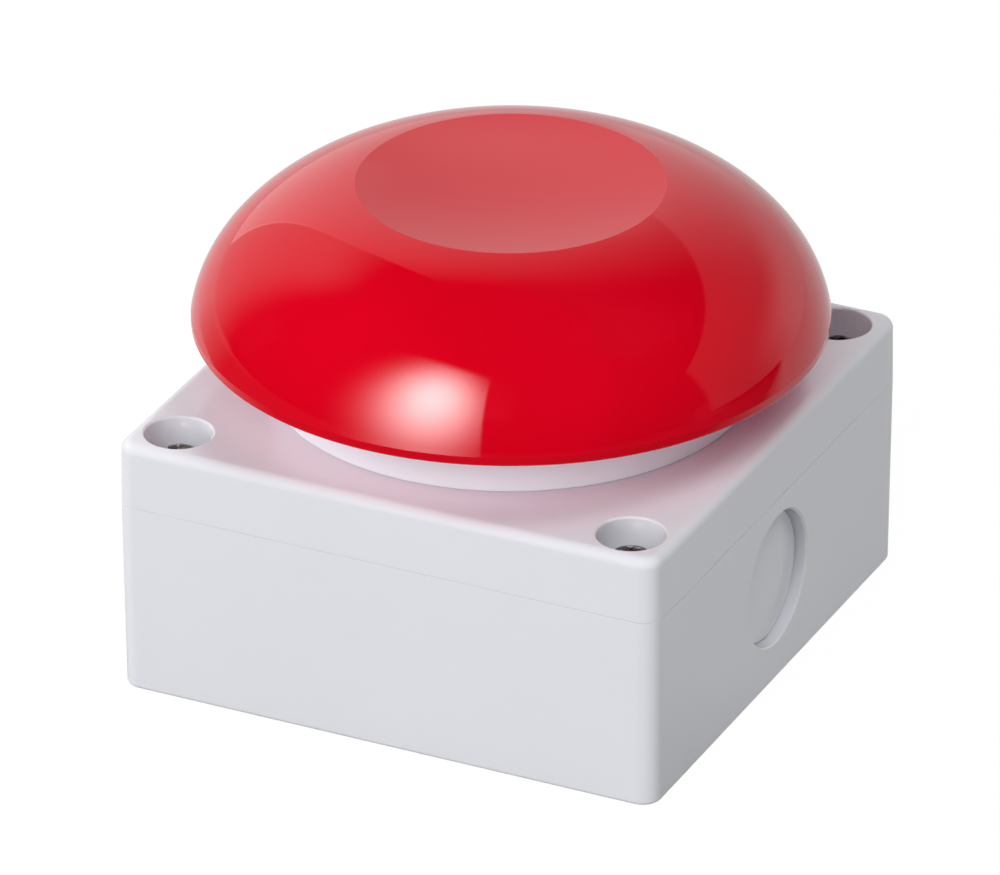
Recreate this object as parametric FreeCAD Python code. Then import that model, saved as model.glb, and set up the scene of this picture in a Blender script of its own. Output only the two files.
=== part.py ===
"""Mushroom palm push button in a square surface-mounting box, in millimetres.

The origin is the centre of the box's underside, +Z is up, the front is -Y and a knock-out faces +X.
A domed cap on a sprung plunger slides in a collar on the lid, and the plunger's foot presses the sliders
of two contact blocks, one normally open and one normally closed, that stand on a carrier in the box.
"""
import FreeCAD
import Part
import math
import os

Vector = FreeCAD.Vector
X_AXIS = Vector(1, 0, 0)
Y_AXIS = Vector(0, 1, 0)
Z_AXIS = Vector(0, 0, 1)
OVERCUT = 1.0  # how far a cutting tool runs past the face that it opens

# Box and lid
box_width = 86.9
corner_radius = 3.0
least_corner_radius = 0.1
wall = 2.8
base_height = 30.2
base_taper = 0.25
base_edge_radius = 0.6
floor_thickness = 3.0
foot_width = 5.0
foot_recess = 0.6
lid_height = 10.2
lid_taper = 0.1
lid_plate = 3.0
lid_edge_radius = 1.6
seam_chamfer = 0.15

# Seal between box and lid: a tongue on the rim presses a gasket into a groove
groove_width = 1.4
tongue_height = 1.0
tongue_clearance = 0.2
gasket_height = 1.2

# Lid screws in their wells
screw_inset = 7.05
well_radius = 5.05
well_depth = 5.3
well_rim_radius = 0.8
well_wall = 1.6
pillar_radius = 5.6
pillar_gap = 0.2
lid_screw_radius = 1.75
lid_screw_length = 21.0
lid_head_radius = 2.9
lid_head_height = 2.4

# Fits that all pieces share
thread_clearance = 0.05
screw_clearance = 0.25
seat_clearance = 0.05
loose_clearance = 0.3
tip_clearance = 0.8

# Knock-outs in the left and right sides
knockout_radius = 10.4
knockout_height = 16.7
knockout_depth = 1.8
knockout_chamfer = 0.3
knockout_groove_width = 0.5
knockout_groove_depth = 0.5

# Holes in the floor for fixing the box to a wall or a post
fixing_spacing_x = 60.0
fixing_spacing_y = 46.0
fixing_hole_radius = 2.2
fixing_boss_radius = 4.6
fixing_boss_height = 1.4

# Collar on the lid, with the guide tube for the plunger
collar_radius = 36.0
collar_height = 11.6
collar_taper = 0.3
collar_wall = 2.4
collar_plate = 2.8
collar_foot_radius = 0.4
collar_rib_count = 8
collar_rib_thickness = 1.8
collar_rib_height = 5.0
guide_wall = 2.9
guide_rise = 8.6
guide_tail = 2.0
spring_cup_wall = 1.6
spring_cup_height = 3.0
collar_gasket_inner = 30.0
collar_gasket_width = 3.0
collar_gasket_height = 1.0
collar_screw_circle = 27.0
collar_screw_count = 4
collar_screw_radius = 1.75
collar_screw_bite = 4.0
collar_head_radius = 3.2
collar_head_height = 2.2
collar_boss_wall = 1.9

# Plunger, its bush and its seal
press_travel = 5.0
stem_radius = 8.0
stem_clearance = 0.06
bush_wall = 2.4
bush_flange_width = 1.8
bush_flange_thickness = 1.0
stop_gap = 0.2
stop_flange_width = 6.0
stop_flange_thickness = 2.0
press_foot_width = 4.0
seal_height = 3.0
seal_lip_depth = 1.8
seal_lip_thickness = 0.8
seal_cap_thickness = 1.2
travel_margin = 0.5
cap_screw_radius = 2.0
cap_screw_bite = 5.5
cap_head_radius = 3.6
cap_head_height = 2.6
stem_ledge_thickness = 7.0

# Domed cap
cap_radius = 47.0
cap_gap = 10.0
cap_lip_height = 1.45
cap_lip_radius = 0.4
dome_rise = 20.6
dome_start_angle = 10.9
dome_end_angle = 79.3
dome_start_handle = 0.316
dome_end_handle = 0.372
dish_radius = 22.8
dish_depth = 1.5
cap_wall = 2.6
hub_wall = 2.9
hub_socket_depth = 6.0
cap_rib_count = 8
cap_rib_thickness = 1.8
spring_socket_wall = 1.6
spring_socket_depth = 2.0

# Return spring
spring_wire_radius = 0.75
spring_turns = 4.5
spring_side_gap = 0.9

# Carrier of the contact blocks
post_radius = 4.0
post_height = 2.5
carrier_thickness = 1.8
carrier_margin = 2.0
carrier_corner_radius = 3.0
carrier_screw_radius = 1.5
carrier_screw_bite = 4.0
carrier_head_radius = 2.9
carrier_head_height = 2.0
hook_thickness = 1.5
hook_height = 4.2
hook_reach = 0.6
hook_lip_height = 1.0

# Contact blocks
block_width = 12.0
block_length = 38.0
block_spacing = 16.0
block_wall = 1.3
block_edge_radius = 0.5
slider_width = 6.8
slider_depth = 5.2
slider_leg = 1.2
slider_bar = 1.4
slider_clearance = 0.1
bridge_length = 16.0
bridge_width = 4.0
bridge_thickness = 1.0
rivet_radius = 1.3
rivet_height = 0.4
rivet_inset = 1.6
contact_clearance = 0.05
bridge_share = 0.5
contact_spring_wire_radius = 0.2
contact_spring_radius = 1.4
contact_spring_turns = 3.5
contact_spring_length = 4.6
lift_spring_radius = 2.8
lift_spring_turns = 4.0
lift_spring_half_angle = 16.0
strip_thickness = 0.9
strip_width = 4.4
strip_overlap = 3.0
strip_step_gap = 1.6
terminal_inset = 4.2
terminal_hole_radius = 2.9
clamp_length = 5.6
clamp_width = 5.2
clamp_thickness = 0.9
terminal_screw_radius = 1.4
terminal_screw_length = 8.0
terminal_head_radius = 2.3
terminal_head_height = 1.6
wire_entry_radius = 1.8

# Heights and radii that follow from them
box_half = box_width / 2
inner_corner_radius = max(corner_radius - wall, least_corner_radius)
core_corner_radius = max(corner_radius - wall / 2, least_corner_radius)
lid_top = base_height + lid_height
lid_underside = lid_top - lid_plate
well_floor = lid_top - well_depth
groove_top = base_height + tongue_height + gasket_height
screw_offset = box_half - screw_inset

bush_bore = stem_radius + stem_clearance
bush_radius = bush_bore + bush_wall
guide_bore = bush_radius + seat_clearance
guide_radius = guide_bore + guide_wall
guide_top = lid_top + guide_rise
guide_bottom = lid_underside - guide_tail
bush_bottom = guide_bottom - bush_flange_thickness
collar_top = lid_top + collar_height
collar_floor = lid_top + collar_plate
spring_inner = guide_radius + spring_side_gap
spring_radius = spring_inner + spring_wire_radius
spring_outer = spring_radius + spring_wire_radius
spring_cup_inner = spring_outer + loose_clearance

lip_bottom = lid_top + cap_gap
lip_top = lip_bottom + cap_lip_height
dish_edge = lip_top + dome_rise
hub_bottom = guide_top + seal_cap_thickness + press_travel + travel_margin
stem_top = hub_bottom + hub_socket_depth
stem_ledge = stem_top - stem_ledge_thickness
hub_bore = stem_radius + seat_clearance
hub_radius = hub_bore + hub_wall
cap_rib_bottom = collar_top + press_travel + travel_margin

post_top = floor_thickness + post_height
carrier_top = post_top + carrier_thickness
block_floor = carrier_top + block_wall
slider_bottom = block_floor + press_travel + travel_margin
bridge_bottom = slider_bottom + slider_bar
bridge_top = bridge_bottom + bridge_thickness
terminal_bottom = bridge_top + 2 * rivet_height + contact_clearance
terminal_top = terminal_bottom + strip_thickness
clamp_top = terminal_top + clamp_thickness
block_ceiling = clamp_top + terminal_head_height + loose_clearance
block_top = block_ceiling + block_wall
slider_top = block_top + press_travel + travel_margin
press_foot_bottom = slider_top + loose_clearance
stop_flange_top = bush_bottom - stop_gap
stop_flange_bottom = stop_flange_top - stop_flange_thickness

block_end = block_length / 2
terminal_offset = block_end - terminal_inset
hook_face = block_end + loose_clearance
carrier_screw_offset = hook_face + hook_thickness + carrier_head_radius + loose_clearance
carrier_length = 2 * (carrier_screw_offset + carrier_head_radius + carrier_margin)
carrier_width = block_spacing + block_width + 2 * carrier_margin
cavity_half = block_width / 2 - block_wall


def cylinder(radius, bottom, top, x=0.0, y=0.0):
    """Upright cylinder between two heights."""
    return Part.makeCylinder(radius, top - bottom, Vector(x, y, bottom), Z_AXIS)


def tube(inner, outer, bottom, top, x=0.0, y=0.0):
    """Upright tube between two heights."""
    bore = cylinder(inner, bottom - OVERCUT, top + OVERCUT, x, y)
    return cylinder(outer, bottom, top, x, y).cut(bore)


def block(x0, x1, y0, y1, z0, z1):
    """Box between two corners."""
    return Part.makeBox(x1 - x0, y1 - y0, z1 - z0, Vector(x0, y0, z0))


def fused(shapes):
    """All the shapes as one solid with no seams between them."""
    return shapes[0].multiFuse(shapes[1:]).removeSplitter()


def turned(points):
    """Solid of revolution about Z from a closed outline of (radius, height) points."""
    corners = [Vector(radius, 0, height) for radius, height in points]
    outline = Part.makePolygon(corners + corners[:1])
    return Part.Face(outline).revolve(Vector(), Z_AXIS, 360)


def rounded_square(half, radius, height):
    """Closed wire: a square with round corners, centred on Z."""
    return rounded_rectangle(half, half, radius, height)


def rounded_rectangle(half_x, half_y, radius, height):
    """Closed wire: a rectangle with round corners, centred on Z."""
    mid = radius * (1 - math.sqrt(0.5))
    edges = []
    corners = [(1, 1), (-1, 1), (-1, -1), (1, -1)]
    for index, (sx, sy) in enumerate(corners):
        along_y = Vector(sx * half_x, sy * (half_y - radius), height)
        along_x = Vector(sx * (half_x - radius), sy * half_y, height)
        middle = Vector(sx * (half_x - mid), sy * (half_y - mid), height)
        first, last = (along_y, along_x) if index % 2 == 0 else (along_x, along_y)
        if edges:
            edges.append(Part.LineSegment(edges[-1].EndPoint, first))
        edges.append(Part.Arc(first, middle, last))
    edges.append(Part.LineSegment(edges[-1].EndPoint, edges[0].StartPoint))
    return Part.Wire([edge.toShape() for edge in edges])


def stacked_squares(sections):
    """Solid through squares with round corners, given as (height, half width, corner radius)."""
    wires = [rounded_square(half, radius, height) for height, half, radius in sections]
    return Part.makeLoft(wires, True, True)


def tapered_square(low_half, high_half, radius, bottom, top):
    """Solid with round corners whose sides lean evenly from one height to the other."""
    return stacked_squares([(bottom, low_half, radius), (top, high_half, radius)])


def square_ring(outer_half, width, radius, bottom, top):
    """Square ring with round corners, as wide as given, between two heights."""
    outer = tapered_square(outer_half, outer_half, radius, bottom, top)
    inner_half = outer_half - width
    inner = tapered_square(inner_half, inner_half, radius - width, bottom - OVERCUT, top + OVERCUT)
    return outer.cut(inner)


def edges_at(shape, height, least_reach):
    """Edges that lie flat at a height and stay outside a distance from the centre."""
    found = []
    for edge in shape.Edges:
        bounds = edge.BoundBox
        flat = abs(bounds.ZMin - height) < 1e-4 and abs(bounds.ZMax - height) < 1e-4
        centre = edge.CenterOfMass
        if flat and max(abs(centre.x), abs(centre.y)) > least_reach:
            found.append(edge)
    return found


def corners_of(offset_x, offset_y):
    """The four places of a rectangle centred on Z."""
    return [(sx * offset_x, sy * offset_y) for sx in (-1, 1) for sy in (-1, 1)]


def on_circle(radius, count, first_angle):
    """Places spread evenly on a circle about Z."""
    step = 2 * math.pi / count
    angles = [math.radians(first_angle) + index * step for index in range(count)]
    return [(radius * math.cos(angle), radius * math.sin(angle)) for angle in angles]


def headed_screw(shank, length, head, head_height, seat, upward, x=0.0, y=0.0):
    """Screw with a slightly domed head on a seat, its shank pointing up or down."""
    crown = head_height * 0.15
    rim = head_height - crown
    side = -1 if upward else 1
    arc = Part.Arc(
        Vector(0, 0, side * head_height),
        Vector(head * 0.55, 0, side * (head_height - crown * 0.3)),
        Vector(head, 0, side * rim),
    )
    points = [
        Vector(head, 0, side * rim),
        Vector(head, 0, 0),
        Vector(shank, 0, 0),
        Vector(shank, 0, -side * (length - shank * 0.5)),
        Vector(shank * 0.5, 0, -side * length),
        Vector(0, 0, -side * length),
        Vector(0, 0, side * head_height),
    ]
    outline = Part.Wire([arc.toShape()] + Part.makePolygon(points).Edges)
    screw = Part.Face(outline).revolve(Vector(), Z_AXIS, 360)
    screw.translate(Vector(x, y, seat))
    return screw


def coil_spring(radius, wire_radius, turns, bottom, top, half_angle=0.0):
    """Compression spring with ends ground flat, straight or narrowing upwards by a half angle."""
    height = top - bottom
    pitch = height / turns
    helix = Part.makeHelix(pitch, height, radius, -half_angle)
    start_slope = Vector(0, radius, pitch / (2 * math.pi))
    wire = Part.Wire(Part.Circle(Vector(radius, 0, 0), start_slope, wire_radius).toShape())
    coil = Part.Wire(helix).makePipeShell([wire], True, True)
    reach = radius + 2 * wire_radius
    coil = coil.common(cylinder(reach, 0, height))
    coil.translate(Vector(0, 0, bottom))
    return coil


def enclosure_base():
    """Tapered box with screw pillars, knock-outs, fixing holes and the posts for the carrier."""
    low_half = box_half - base_taper
    body = stacked_squares([
        (0, low_half, corner_radius),
        (base_height - seam_chamfer, box_half, corner_radius),
        (base_height, box_half - seam_chamfer, corner_radius - seam_chamfer),
    ])
    body = body.makeFillet(base_edge_radius, edges_at(body, 0, 0))
    inner = (low_half - wall, box_half - wall, inner_corner_radius)
    body = body.cut(tapered_square(*inner, floor_thickness, base_height))
    core_half = low_half - wall / 2
    core = tapered_square(core_half, core_half, core_corner_radius, 0, base_height)
    additions = [body]
    for x, y in corners_of(screw_offset, screw_offset):
        additions.append(corner_pillar(x, y).common(core))
    for x, y in corners_of(fixing_spacing_x / 2, fixing_spacing_y / 2):
        top = floor_thickness + fixing_boss_height
        additions.append(cylinder(fixing_boss_radius, floor_thickness, top, x, y))
    for y in (-carrier_screw_offset, carrier_screw_offset):
        additions.append(cylinder(post_radius, floor_thickness, post_top, 0, y))
    tongue_half = box_half - (wall - groove_width) / 2 - tongue_clearance
    tongue_width = groove_width - 2 * tongue_clearance
    tongue_top = base_height + tongue_height
    additions.append(square_ring(tongue_half, tongue_width, corner_radius, base_height, tongue_top))
    body = fused(additions)
    recess_half = low_half - foot_width
    cuts = [tapered_square(recess_half, recess_half, corner_radius, -OVERCUT, foot_recess)]
    pilot_radius = lid_screw_radius + thread_clearance
    pilot_bottom = well_floor - lid_screw_length - tip_clearance
    for x, y in corners_of(screw_offset, screw_offset):
        cuts.append(cylinder(pilot_radius, pilot_bottom, base_height, x, y))
    for x, y in corners_of(fixing_spacing_x / 2, fixing_spacing_y / 2):
        cuts.append(cylinder(fixing_hole_radius, -OVERCUT, lid_top, x, y))
    pilot_radius = carrier_screw_radius + thread_clearance
    pilot_bottom = post_top - carrier_screw_bite - screw_clearance
    for y in (-carrier_screw_offset, carrier_screw_offset):
        cuts.append(cylinder(pilot_radius, pilot_bottom, carrier_top, 0, y))
    for side in (-1, 1):
        cuts.append(knockout_tool(side))
    return body.cut(cuts)


def knockout_tool(side):
    """Cutting tool for one knock-out: its recess, chamfered mouth and the thin groove around its disc."""
    face = box_half - base_taper * (1 - knockout_height / base_height)
    disc_face = face - knockout_depth
    radius = knockout_radius
    groove_radius = radius - knockout_groove_width
    flare_depth = knockout_chamfer + OVERCUT
    bores = [
        (radius, radius, disc_face, face + OVERCUT),
        (radius, radius + flare_depth, face - knockout_chamfer, face + OVERCUT),
        (radius, radius, disc_face - knockout_groove_depth, disc_face),
    ]
    tool = fused([x_frustum(side, *bore) for bore in bores])
    disc = x_frustum(side, groove_radius, groove_radius, disc_face - 2 * knockout_groove_depth, disc_face)
    return tool.cut(disc)


def x_frustum(side, inner_radius, outer_radius, low, high):
    """Cylinder or cone along X at a knock-out, from one distance from the middle to another."""
    start = Vector(side * low, 0, knockout_height)
    direction = X_AXIS * side
    if inner_radius == outer_radius:
        return Part.makeCylinder(inner_radius, high - low, start, direction)
    return Part.makeCone(inner_radius, outer_radius, high - low, start, direction)


def corner_pillar(x, y):
    """Pillar for one lid screw, filled out into its corner of the box and sunk into the floor."""
    bottom = floor_thickness / 2
    top = base_height - pillar_gap
    x0, x1 = sorted((x, math.copysign(box_half, x)))
    y0, y1 = sorted((y, math.copysign(box_half, y)))
    corner = block(x0, x1, y0, y1, bottom, top)
    return fused([cylinder(pillar_radius, bottom, top, x, y), corner])


def enclosure_lid():
    """Lid with rounded top edges, four screw wells and the opening for the guide tube."""
    top_half = box_half - lid_taper
    body = stacked_squares([
        (base_height, box_half - seam_chamfer, corner_radius - seam_chamfer),
        (base_height + seam_chamfer, box_half, corner_radius),
        (lid_top, top_half, corner_radius),
    ])
    body = body.makeFillet(lid_edge_radius, edges_at(body, lid_top, 0))
    inner_half = box_half - wall
    low = base_height - OVERCUT
    body = body.cut(tapered_square(inner_half, inner_half, inner_corner_radius, low, lid_underside))
    core_half = top_half - wall / 2
    core = tapered_square(core_half, core_half, core_corner_radius, base_height, lid_top)
    additions = [body]
    for x, y in corners_of(screw_offset, screw_offset):
        column = cylinder(well_radius + well_wall, base_height, lid_top - lid_plate / 2, x, y)
        additions.append(column.common(core))
    body = fused(additions)
    cuts = [cylinder(guide_radius + loose_clearance, low, lid_top + OVERCUT)]
    for x, y in corners_of(screw_offset, screw_offset):
        cuts.append(screw_well(x, y))
        cuts.append(cylinder(lid_screw_radius + screw_clearance, low, lid_top, x, y))
    for x, y in on_circle(collar_screw_circle, collar_screw_count, 45):
        cuts.append(cylinder(collar_screw_radius + screw_clearance, low, lid_top + OVERCUT, x, y))
    groove_half = box_half - (wall - groove_width) / 2
    cuts.append(square_ring(groove_half, groove_width, corner_radius, low, groove_top))
    return body.cut(cuts)


def screw_well(x, y):
    """Cutting tool for one screw well, whose rim is rounded over."""
    rim = well_rim_radius
    mid = rim * (1 - math.sqrt(0.5))
    flare = Part.Arc(
        Vector(well_radius, 0, lid_top - rim),
        Vector(well_radius + mid, 0, lid_top - mid),
        Vector(well_radius + rim, 0, lid_top),
    )
    points = [
        Vector(well_radius + rim, 0, lid_top),
        Vector(well_radius + rim, 0, lid_top + OVERCUT),
        Vector(0, 0, lid_top + OVERCUT),
        Vector(0, 0, well_floor),
        Vector(well_radius, 0, well_floor),
        Vector(well_radius, 0, lid_top - rim),
    ]
    outline = Part.Wire([flare.toShape()] + Part.makePolygon(points).Edges)
    tool = Part.Face(outline).revolve(Vector(), Z_AXIS, 360)
    tool.translate(Vector(x, y, 0))
    return tool


def lid_gasket():
    """Square seal that fills the lid's groove above the tongue."""
    half = box_half - (wall - groove_width) / 2 - seat_clearance
    width = groove_width - 2 * seat_clearance
    return square_ring(half, width, corner_radius, base_height + tongue_height, groove_top)


def lid_screws():
    """Four screws that hold the lid on the pillars."""
    screws = []
    for x, y in corners_of(screw_offset, screw_offset):
        size = (lid_screw_radius, lid_screw_length, lid_head_radius, lid_head_height)
        screws.append(headed_screw(*size, well_floor, False, x, y))
    return Part.makeCompound(screws)


def collar():
    """Round collar with its floor plate, guide tube, spring cup, ribs and screw bosses."""
    rim_radius = collar_radius - collar_taper
    outside = Part.makeCone(collar_radius, rim_radius, collar_height, Vector(0, 0, lid_top), Z_AXIS)
    outside = outside.makeFillet(collar_foot_radius, outside.Edges)
    inner = collar_radius - collar_wall
    inner_top = rim_radius - collar_wall
    depth = collar_top - collar_floor
    hollow = Part.makeCone(inner, inner_top, depth + OVERCUT, Vector(0, 0, collar_floor), Z_AXIS)
    shell = outside.cut(hollow)
    cup_outer = spring_cup_inner + spring_cup_wall
    cup_top = collar_floor + spring_cup_height
    pieces = [shell, cylinder(guide_radius, guide_bottom, guide_top)]
    pieces.append(tube(spring_cup_inner, cup_outer, lid_top + collar_plate / 2, cup_top))
    boss_radius = collar_screw_radius + collar_boss_wall
    boss_top = collar_floor + collar_screw_bite + tip_clearance + collar_boss_wall
    for x, y in on_circle(collar_screw_circle, collar_screw_count, 45):
        pieces.append(cylinder(boss_radius, lid_top + collar_plate / 2, boss_top, x, y))
    rib_half = collar_rib_thickness / 2
    rib_top = collar_floor + collar_rib_height
    for index in range(collar_rib_count):
        inner_end = spring_cup_inner + spring_cup_wall / 2
        outer_end = rim_radius - collar_wall / 2
        rib = block(inner_end, outer_end, -rib_half, rib_half, lid_top + collar_plate / 2, rib_top)
        rib.rotate(Vector(), Z_AXIS, (index + 0.5) * 360 / collar_rib_count)
        pieces.append(rib)
    body = fused(pieces)
    cuts = [cylinder(guide_bore, guide_bottom - OVERCUT, guide_top + OVERCUT)]
    pilot_top = collar_floor + collar_screw_bite + tip_clearance
    for x, y in on_circle(collar_screw_circle, collar_screw_count, 45):
        cuts.append(cylinder(collar_screw_radius + thread_clearance, guide_bottom, pilot_top, x, y))
    gasket_outer = collar_gasket_inner + collar_gasket_width
    gasket_top = lid_top + collar_gasket_height
    cuts.append(tube(collar_gasket_inner, gasket_outer, lid_top - OVERCUT, gasket_top))
    return body.cut(cuts)


def collar_gasket():
    """Flat ring in the groove under the collar."""
    inner = collar_gasket_inner + seat_clearance
    outer = collar_gasket_inner + collar_gasket_width - seat_clearance
    return tube(inner, outer, lid_top, lid_top + collar_gasket_height)


def collar_screws():
    """Screws up through the lid that hold the collar."""
    length = lid_plate + collar_plate + collar_screw_bite
    screws = []
    for x, y in on_circle(collar_screw_circle, collar_screw_count, 45):
        size = (collar_screw_radius, length, collar_head_radius, collar_head_height)
        screws.append(headed_screw(*size, lid_underside, True, x, y))
    return Part.makeCompound(screws)


def guide_bush():
    """Flanged sleeve pressed into the guide tube from below."""
    flange_radius = bush_radius + bush_flange_width
    return turned([
        (bush_bore, bush_bottom),
        (flange_radius, bush_bottom),
        (flange_radius, guide_bottom),
        (bush_radius, guide_bottom),
        (bush_radius, guide_top - seal_height),
        (bush_bore, guide_top - seal_height),
    ])


def stem_seal():
    """Seal with a V-shaped lip round the plunger."""
    bottom = guide_top - seal_height
    valley = guide_top - seal_lip_depth
    return turned([
        (bush_bore, bottom),
        (bush_radius, bottom),
        (bush_radius, guide_top),
        (bush_radius - seal_lip_thickness, guide_top),
        ((bush_radius + bush_bore) / 2, valley),
        (bush_bore + seal_lip_thickness, guide_top),
        (bush_bore, guide_top),
    ])


def seal_cap():
    """Ring on top of the guide tube that keeps the seal in."""
    return tube(bush_bore + loose_clearance, guide_radius, guide_top, guide_top + seal_cap_thickness)


def plunger():
    """Hollow stem with a stop flange and a foot that reaches both sliders."""
    flange_radius = stem_radius + stop_flange_width
    foot_radius = stem_radius + press_foot_width
    bore = cap_head_radius + screw_clearance
    screw_hole = cap_screw_radius + screw_clearance
    return turned([
        (screw_hole, stem_top),
        (stem_radius, stem_top),
        (stem_radius, stop_flange_top),
        (flange_radius, stop_flange_top),
        (flange_radius, stop_flange_bottom),
        (foot_radius, stop_flange_bottom),
        (foot_radius, press_foot_bottom),
        (bore, press_foot_bottom),
        (bore, stem_ledge),
        (screw_hole, stem_ledge),
    ])


def cap_screw():
    """Screw up through the stem into the cap's hub."""
    length = stem_ledge_thickness + cap_screw_bite
    size = (cap_screw_radius, length, cap_head_radius, cap_head_height)
    return headed_screw(*size, stem_ledge, True)


def dome_curve(start, end):
    """Section of the dome from the dish's edge to the lip, flat at first and steep at the end."""
    chord = (end - start).Length
    first = math.radians(dome_start_angle)
    last = math.radians(dome_end_angle)
    leave = Vector(math.cos(first), 0, -math.sin(first)) * (chord * dome_start_handle)
    arrive = Vector(math.cos(last), 0, -math.sin(last)) * (chord * dome_end_handle)
    curve = Part.BezierCurve()
    curve.setPoles([start, start + leave, end - arrive, end])
    return curve


def dish_arc(edge, depth):
    """Shallow arc from the centre of the dish to its edge."""
    bend = depth * 0.25
    centre = Vector(0, 0, edge.z - depth)
    return Part.Arc(centre, Vector(edge.x / 2, 0, centre.z + bend), edge)


def mushroom_cap():
    """Hollow dome with a dished top, a short upright lip, a hub, ribs and a spring socket."""
    first = math.radians(dome_start_angle)
    edge = Vector(dish_radius, 0, dish_edge)
    rim = Vector(cap_radius, 0, lip_top)
    inner_edge = edge - Vector(math.sin(first), 0, math.cos(first)) * cap_wall
    inner_rim = rim - Vector(cap_wall, 0, 0)
    outer = [dish_arc(edge, dish_depth), dome_curve(edge, rim)]
    inner = [dome_curve(inner_edge, inner_rim), dish_arc(inner_edge, dish_depth)]
    axis_top = outer[0].StartPoint
    inner_top = inner[1].StartPoint
    lip = Part.makePolygon([
        rim,
        Vector(cap_radius, 0, lip_bottom),
        Vector(inner_rim.x, 0, lip_bottom),
        inner_rim,
    ])
    shell_edges = [curve.toShape() for curve in outer + inner] + lip.Edges
    shell_edges.append(Part.makeLine(inner_top, axis_top))
    outline = Part.Wire(Part.__sortEdges__(shell_edges))
    shell = Part.Face(outline).revolve(Vector(), Z_AXIS, 360)
    shell = shell.makeFillet(cap_lip_radius, edges_at(shell, lip_bottom, -1))
    floor = Part.makePolygon([inner_rim, Vector(0, 0, inner_rim.z), inner_top])
    core_edges = [curve.toShape() for curve in inner] + floor.Edges
    core_outline = Part.Wire(Part.__sortEdges__(core_edges))
    core = Part.Face(core_outline).revolve(Vector(), Z_AXIS, 360)
    socket_inner = spring_outer + loose_clearance
    socket_outer = socket_inner + spring_socket_wall
    socket_bottom = cap_rib_bottom - spring_socket_depth
    inside = [cylinder(hub_radius, hub_bottom, dish_edge)]
    inside.append(tube(socket_inner, socket_outer, socket_bottom, dish_edge))
    rib_half = cap_rib_thickness / 2
    for index in range(cap_rib_count):
        rib = block(hub_bore, cap_radius, -rib_half, rib_half, cap_rib_bottom, dish_edge)
        rib.rotate(Vector(), Z_AXIS, index * 360 / cap_rib_count)
        inside.append(rib)
    inside = fused(inside).common(core)
    body = fused([shell, inside])
    pilot_top = stem_top + cap_screw_bite + tip_clearance
    cuts = [cylinder(hub_bore, hub_bottom - OVERCUT, stem_top)]
    cuts.append(cylinder(cap_screw_radius + thread_clearance, stem_top - OVERCUT, pilot_top))
    return body.cut(cuts)


def return_spring():
    """Spring between the collar's plate and the cap's ribs."""
    return coil_spring(spring_radius, spring_wire_radius, spring_turns, collar_floor, cap_rib_bottom)


def contact_carrier():
    """Plate on two posts with hooks that hold both blocks by their ends."""
    outline = rounded_rectangle(carrier_width / 2, carrier_length / 2, carrier_corner_radius, post_top)
    plate = Part.Face(outline).extrude(Vector(0, 0, carrier_thickness))
    pieces = [plate]
    for x in (-block_spacing / 2, block_spacing / 2):
        for side in (-1, 1):
            pieces.append(snap_hook(x, side))
    body = fused(pieces)
    hole_radius = carrier_screw_radius + screw_clearance
    holes = []
    for y in (-carrier_screw_offset, carrier_screw_offset):
        holes.append(cylinder(hole_radius, post_top - OVERCUT, carrier_top + OVERCUT, 0, y))
    return body.cut(holes)


def snap_hook(x, side):
    """Upright hook at one end of a block, with a lip that leans over the block's notch."""
    lip_bottom_z = carrier_top + hook_height - hook_lip_height
    points = [
        Vector(0, hook_face, post_top),
        Vector(0, hook_face, lip_bottom_z),
        Vector(0, hook_face - hook_reach, lip_bottom_z),
        Vector(0, hook_face + hook_thickness / 2, carrier_top + hook_height),
        Vector(0, hook_face + hook_thickness, carrier_top + hook_height),
        Vector(0, hook_face + hook_thickness, post_top),
    ]
    face = Part.Face(Part.makePolygon(points + points[:1]))
    hook_width = block_width / 2
    hook = face.extrude(Vector(hook_width, 0, 0))
    hook.translate(Vector(x - hook_width / 2, 0, 0))
    if side < 0:
        hook = hook.mirror(Vector(), Y_AXIS)
    return hook


def carrier_screws():
    """Two screws that hold the carrier on its posts."""
    length = carrier_thickness + carrier_screw_bite
    screws = []
    for y in (-carrier_screw_offset, carrier_screw_offset):
        size = (carrier_screw_radius, length, carrier_head_radius, carrier_head_height)
        screws.append(headed_screw(*size, carrier_top, False, 0, y))
    return Part.makeCompound(screws)


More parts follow.
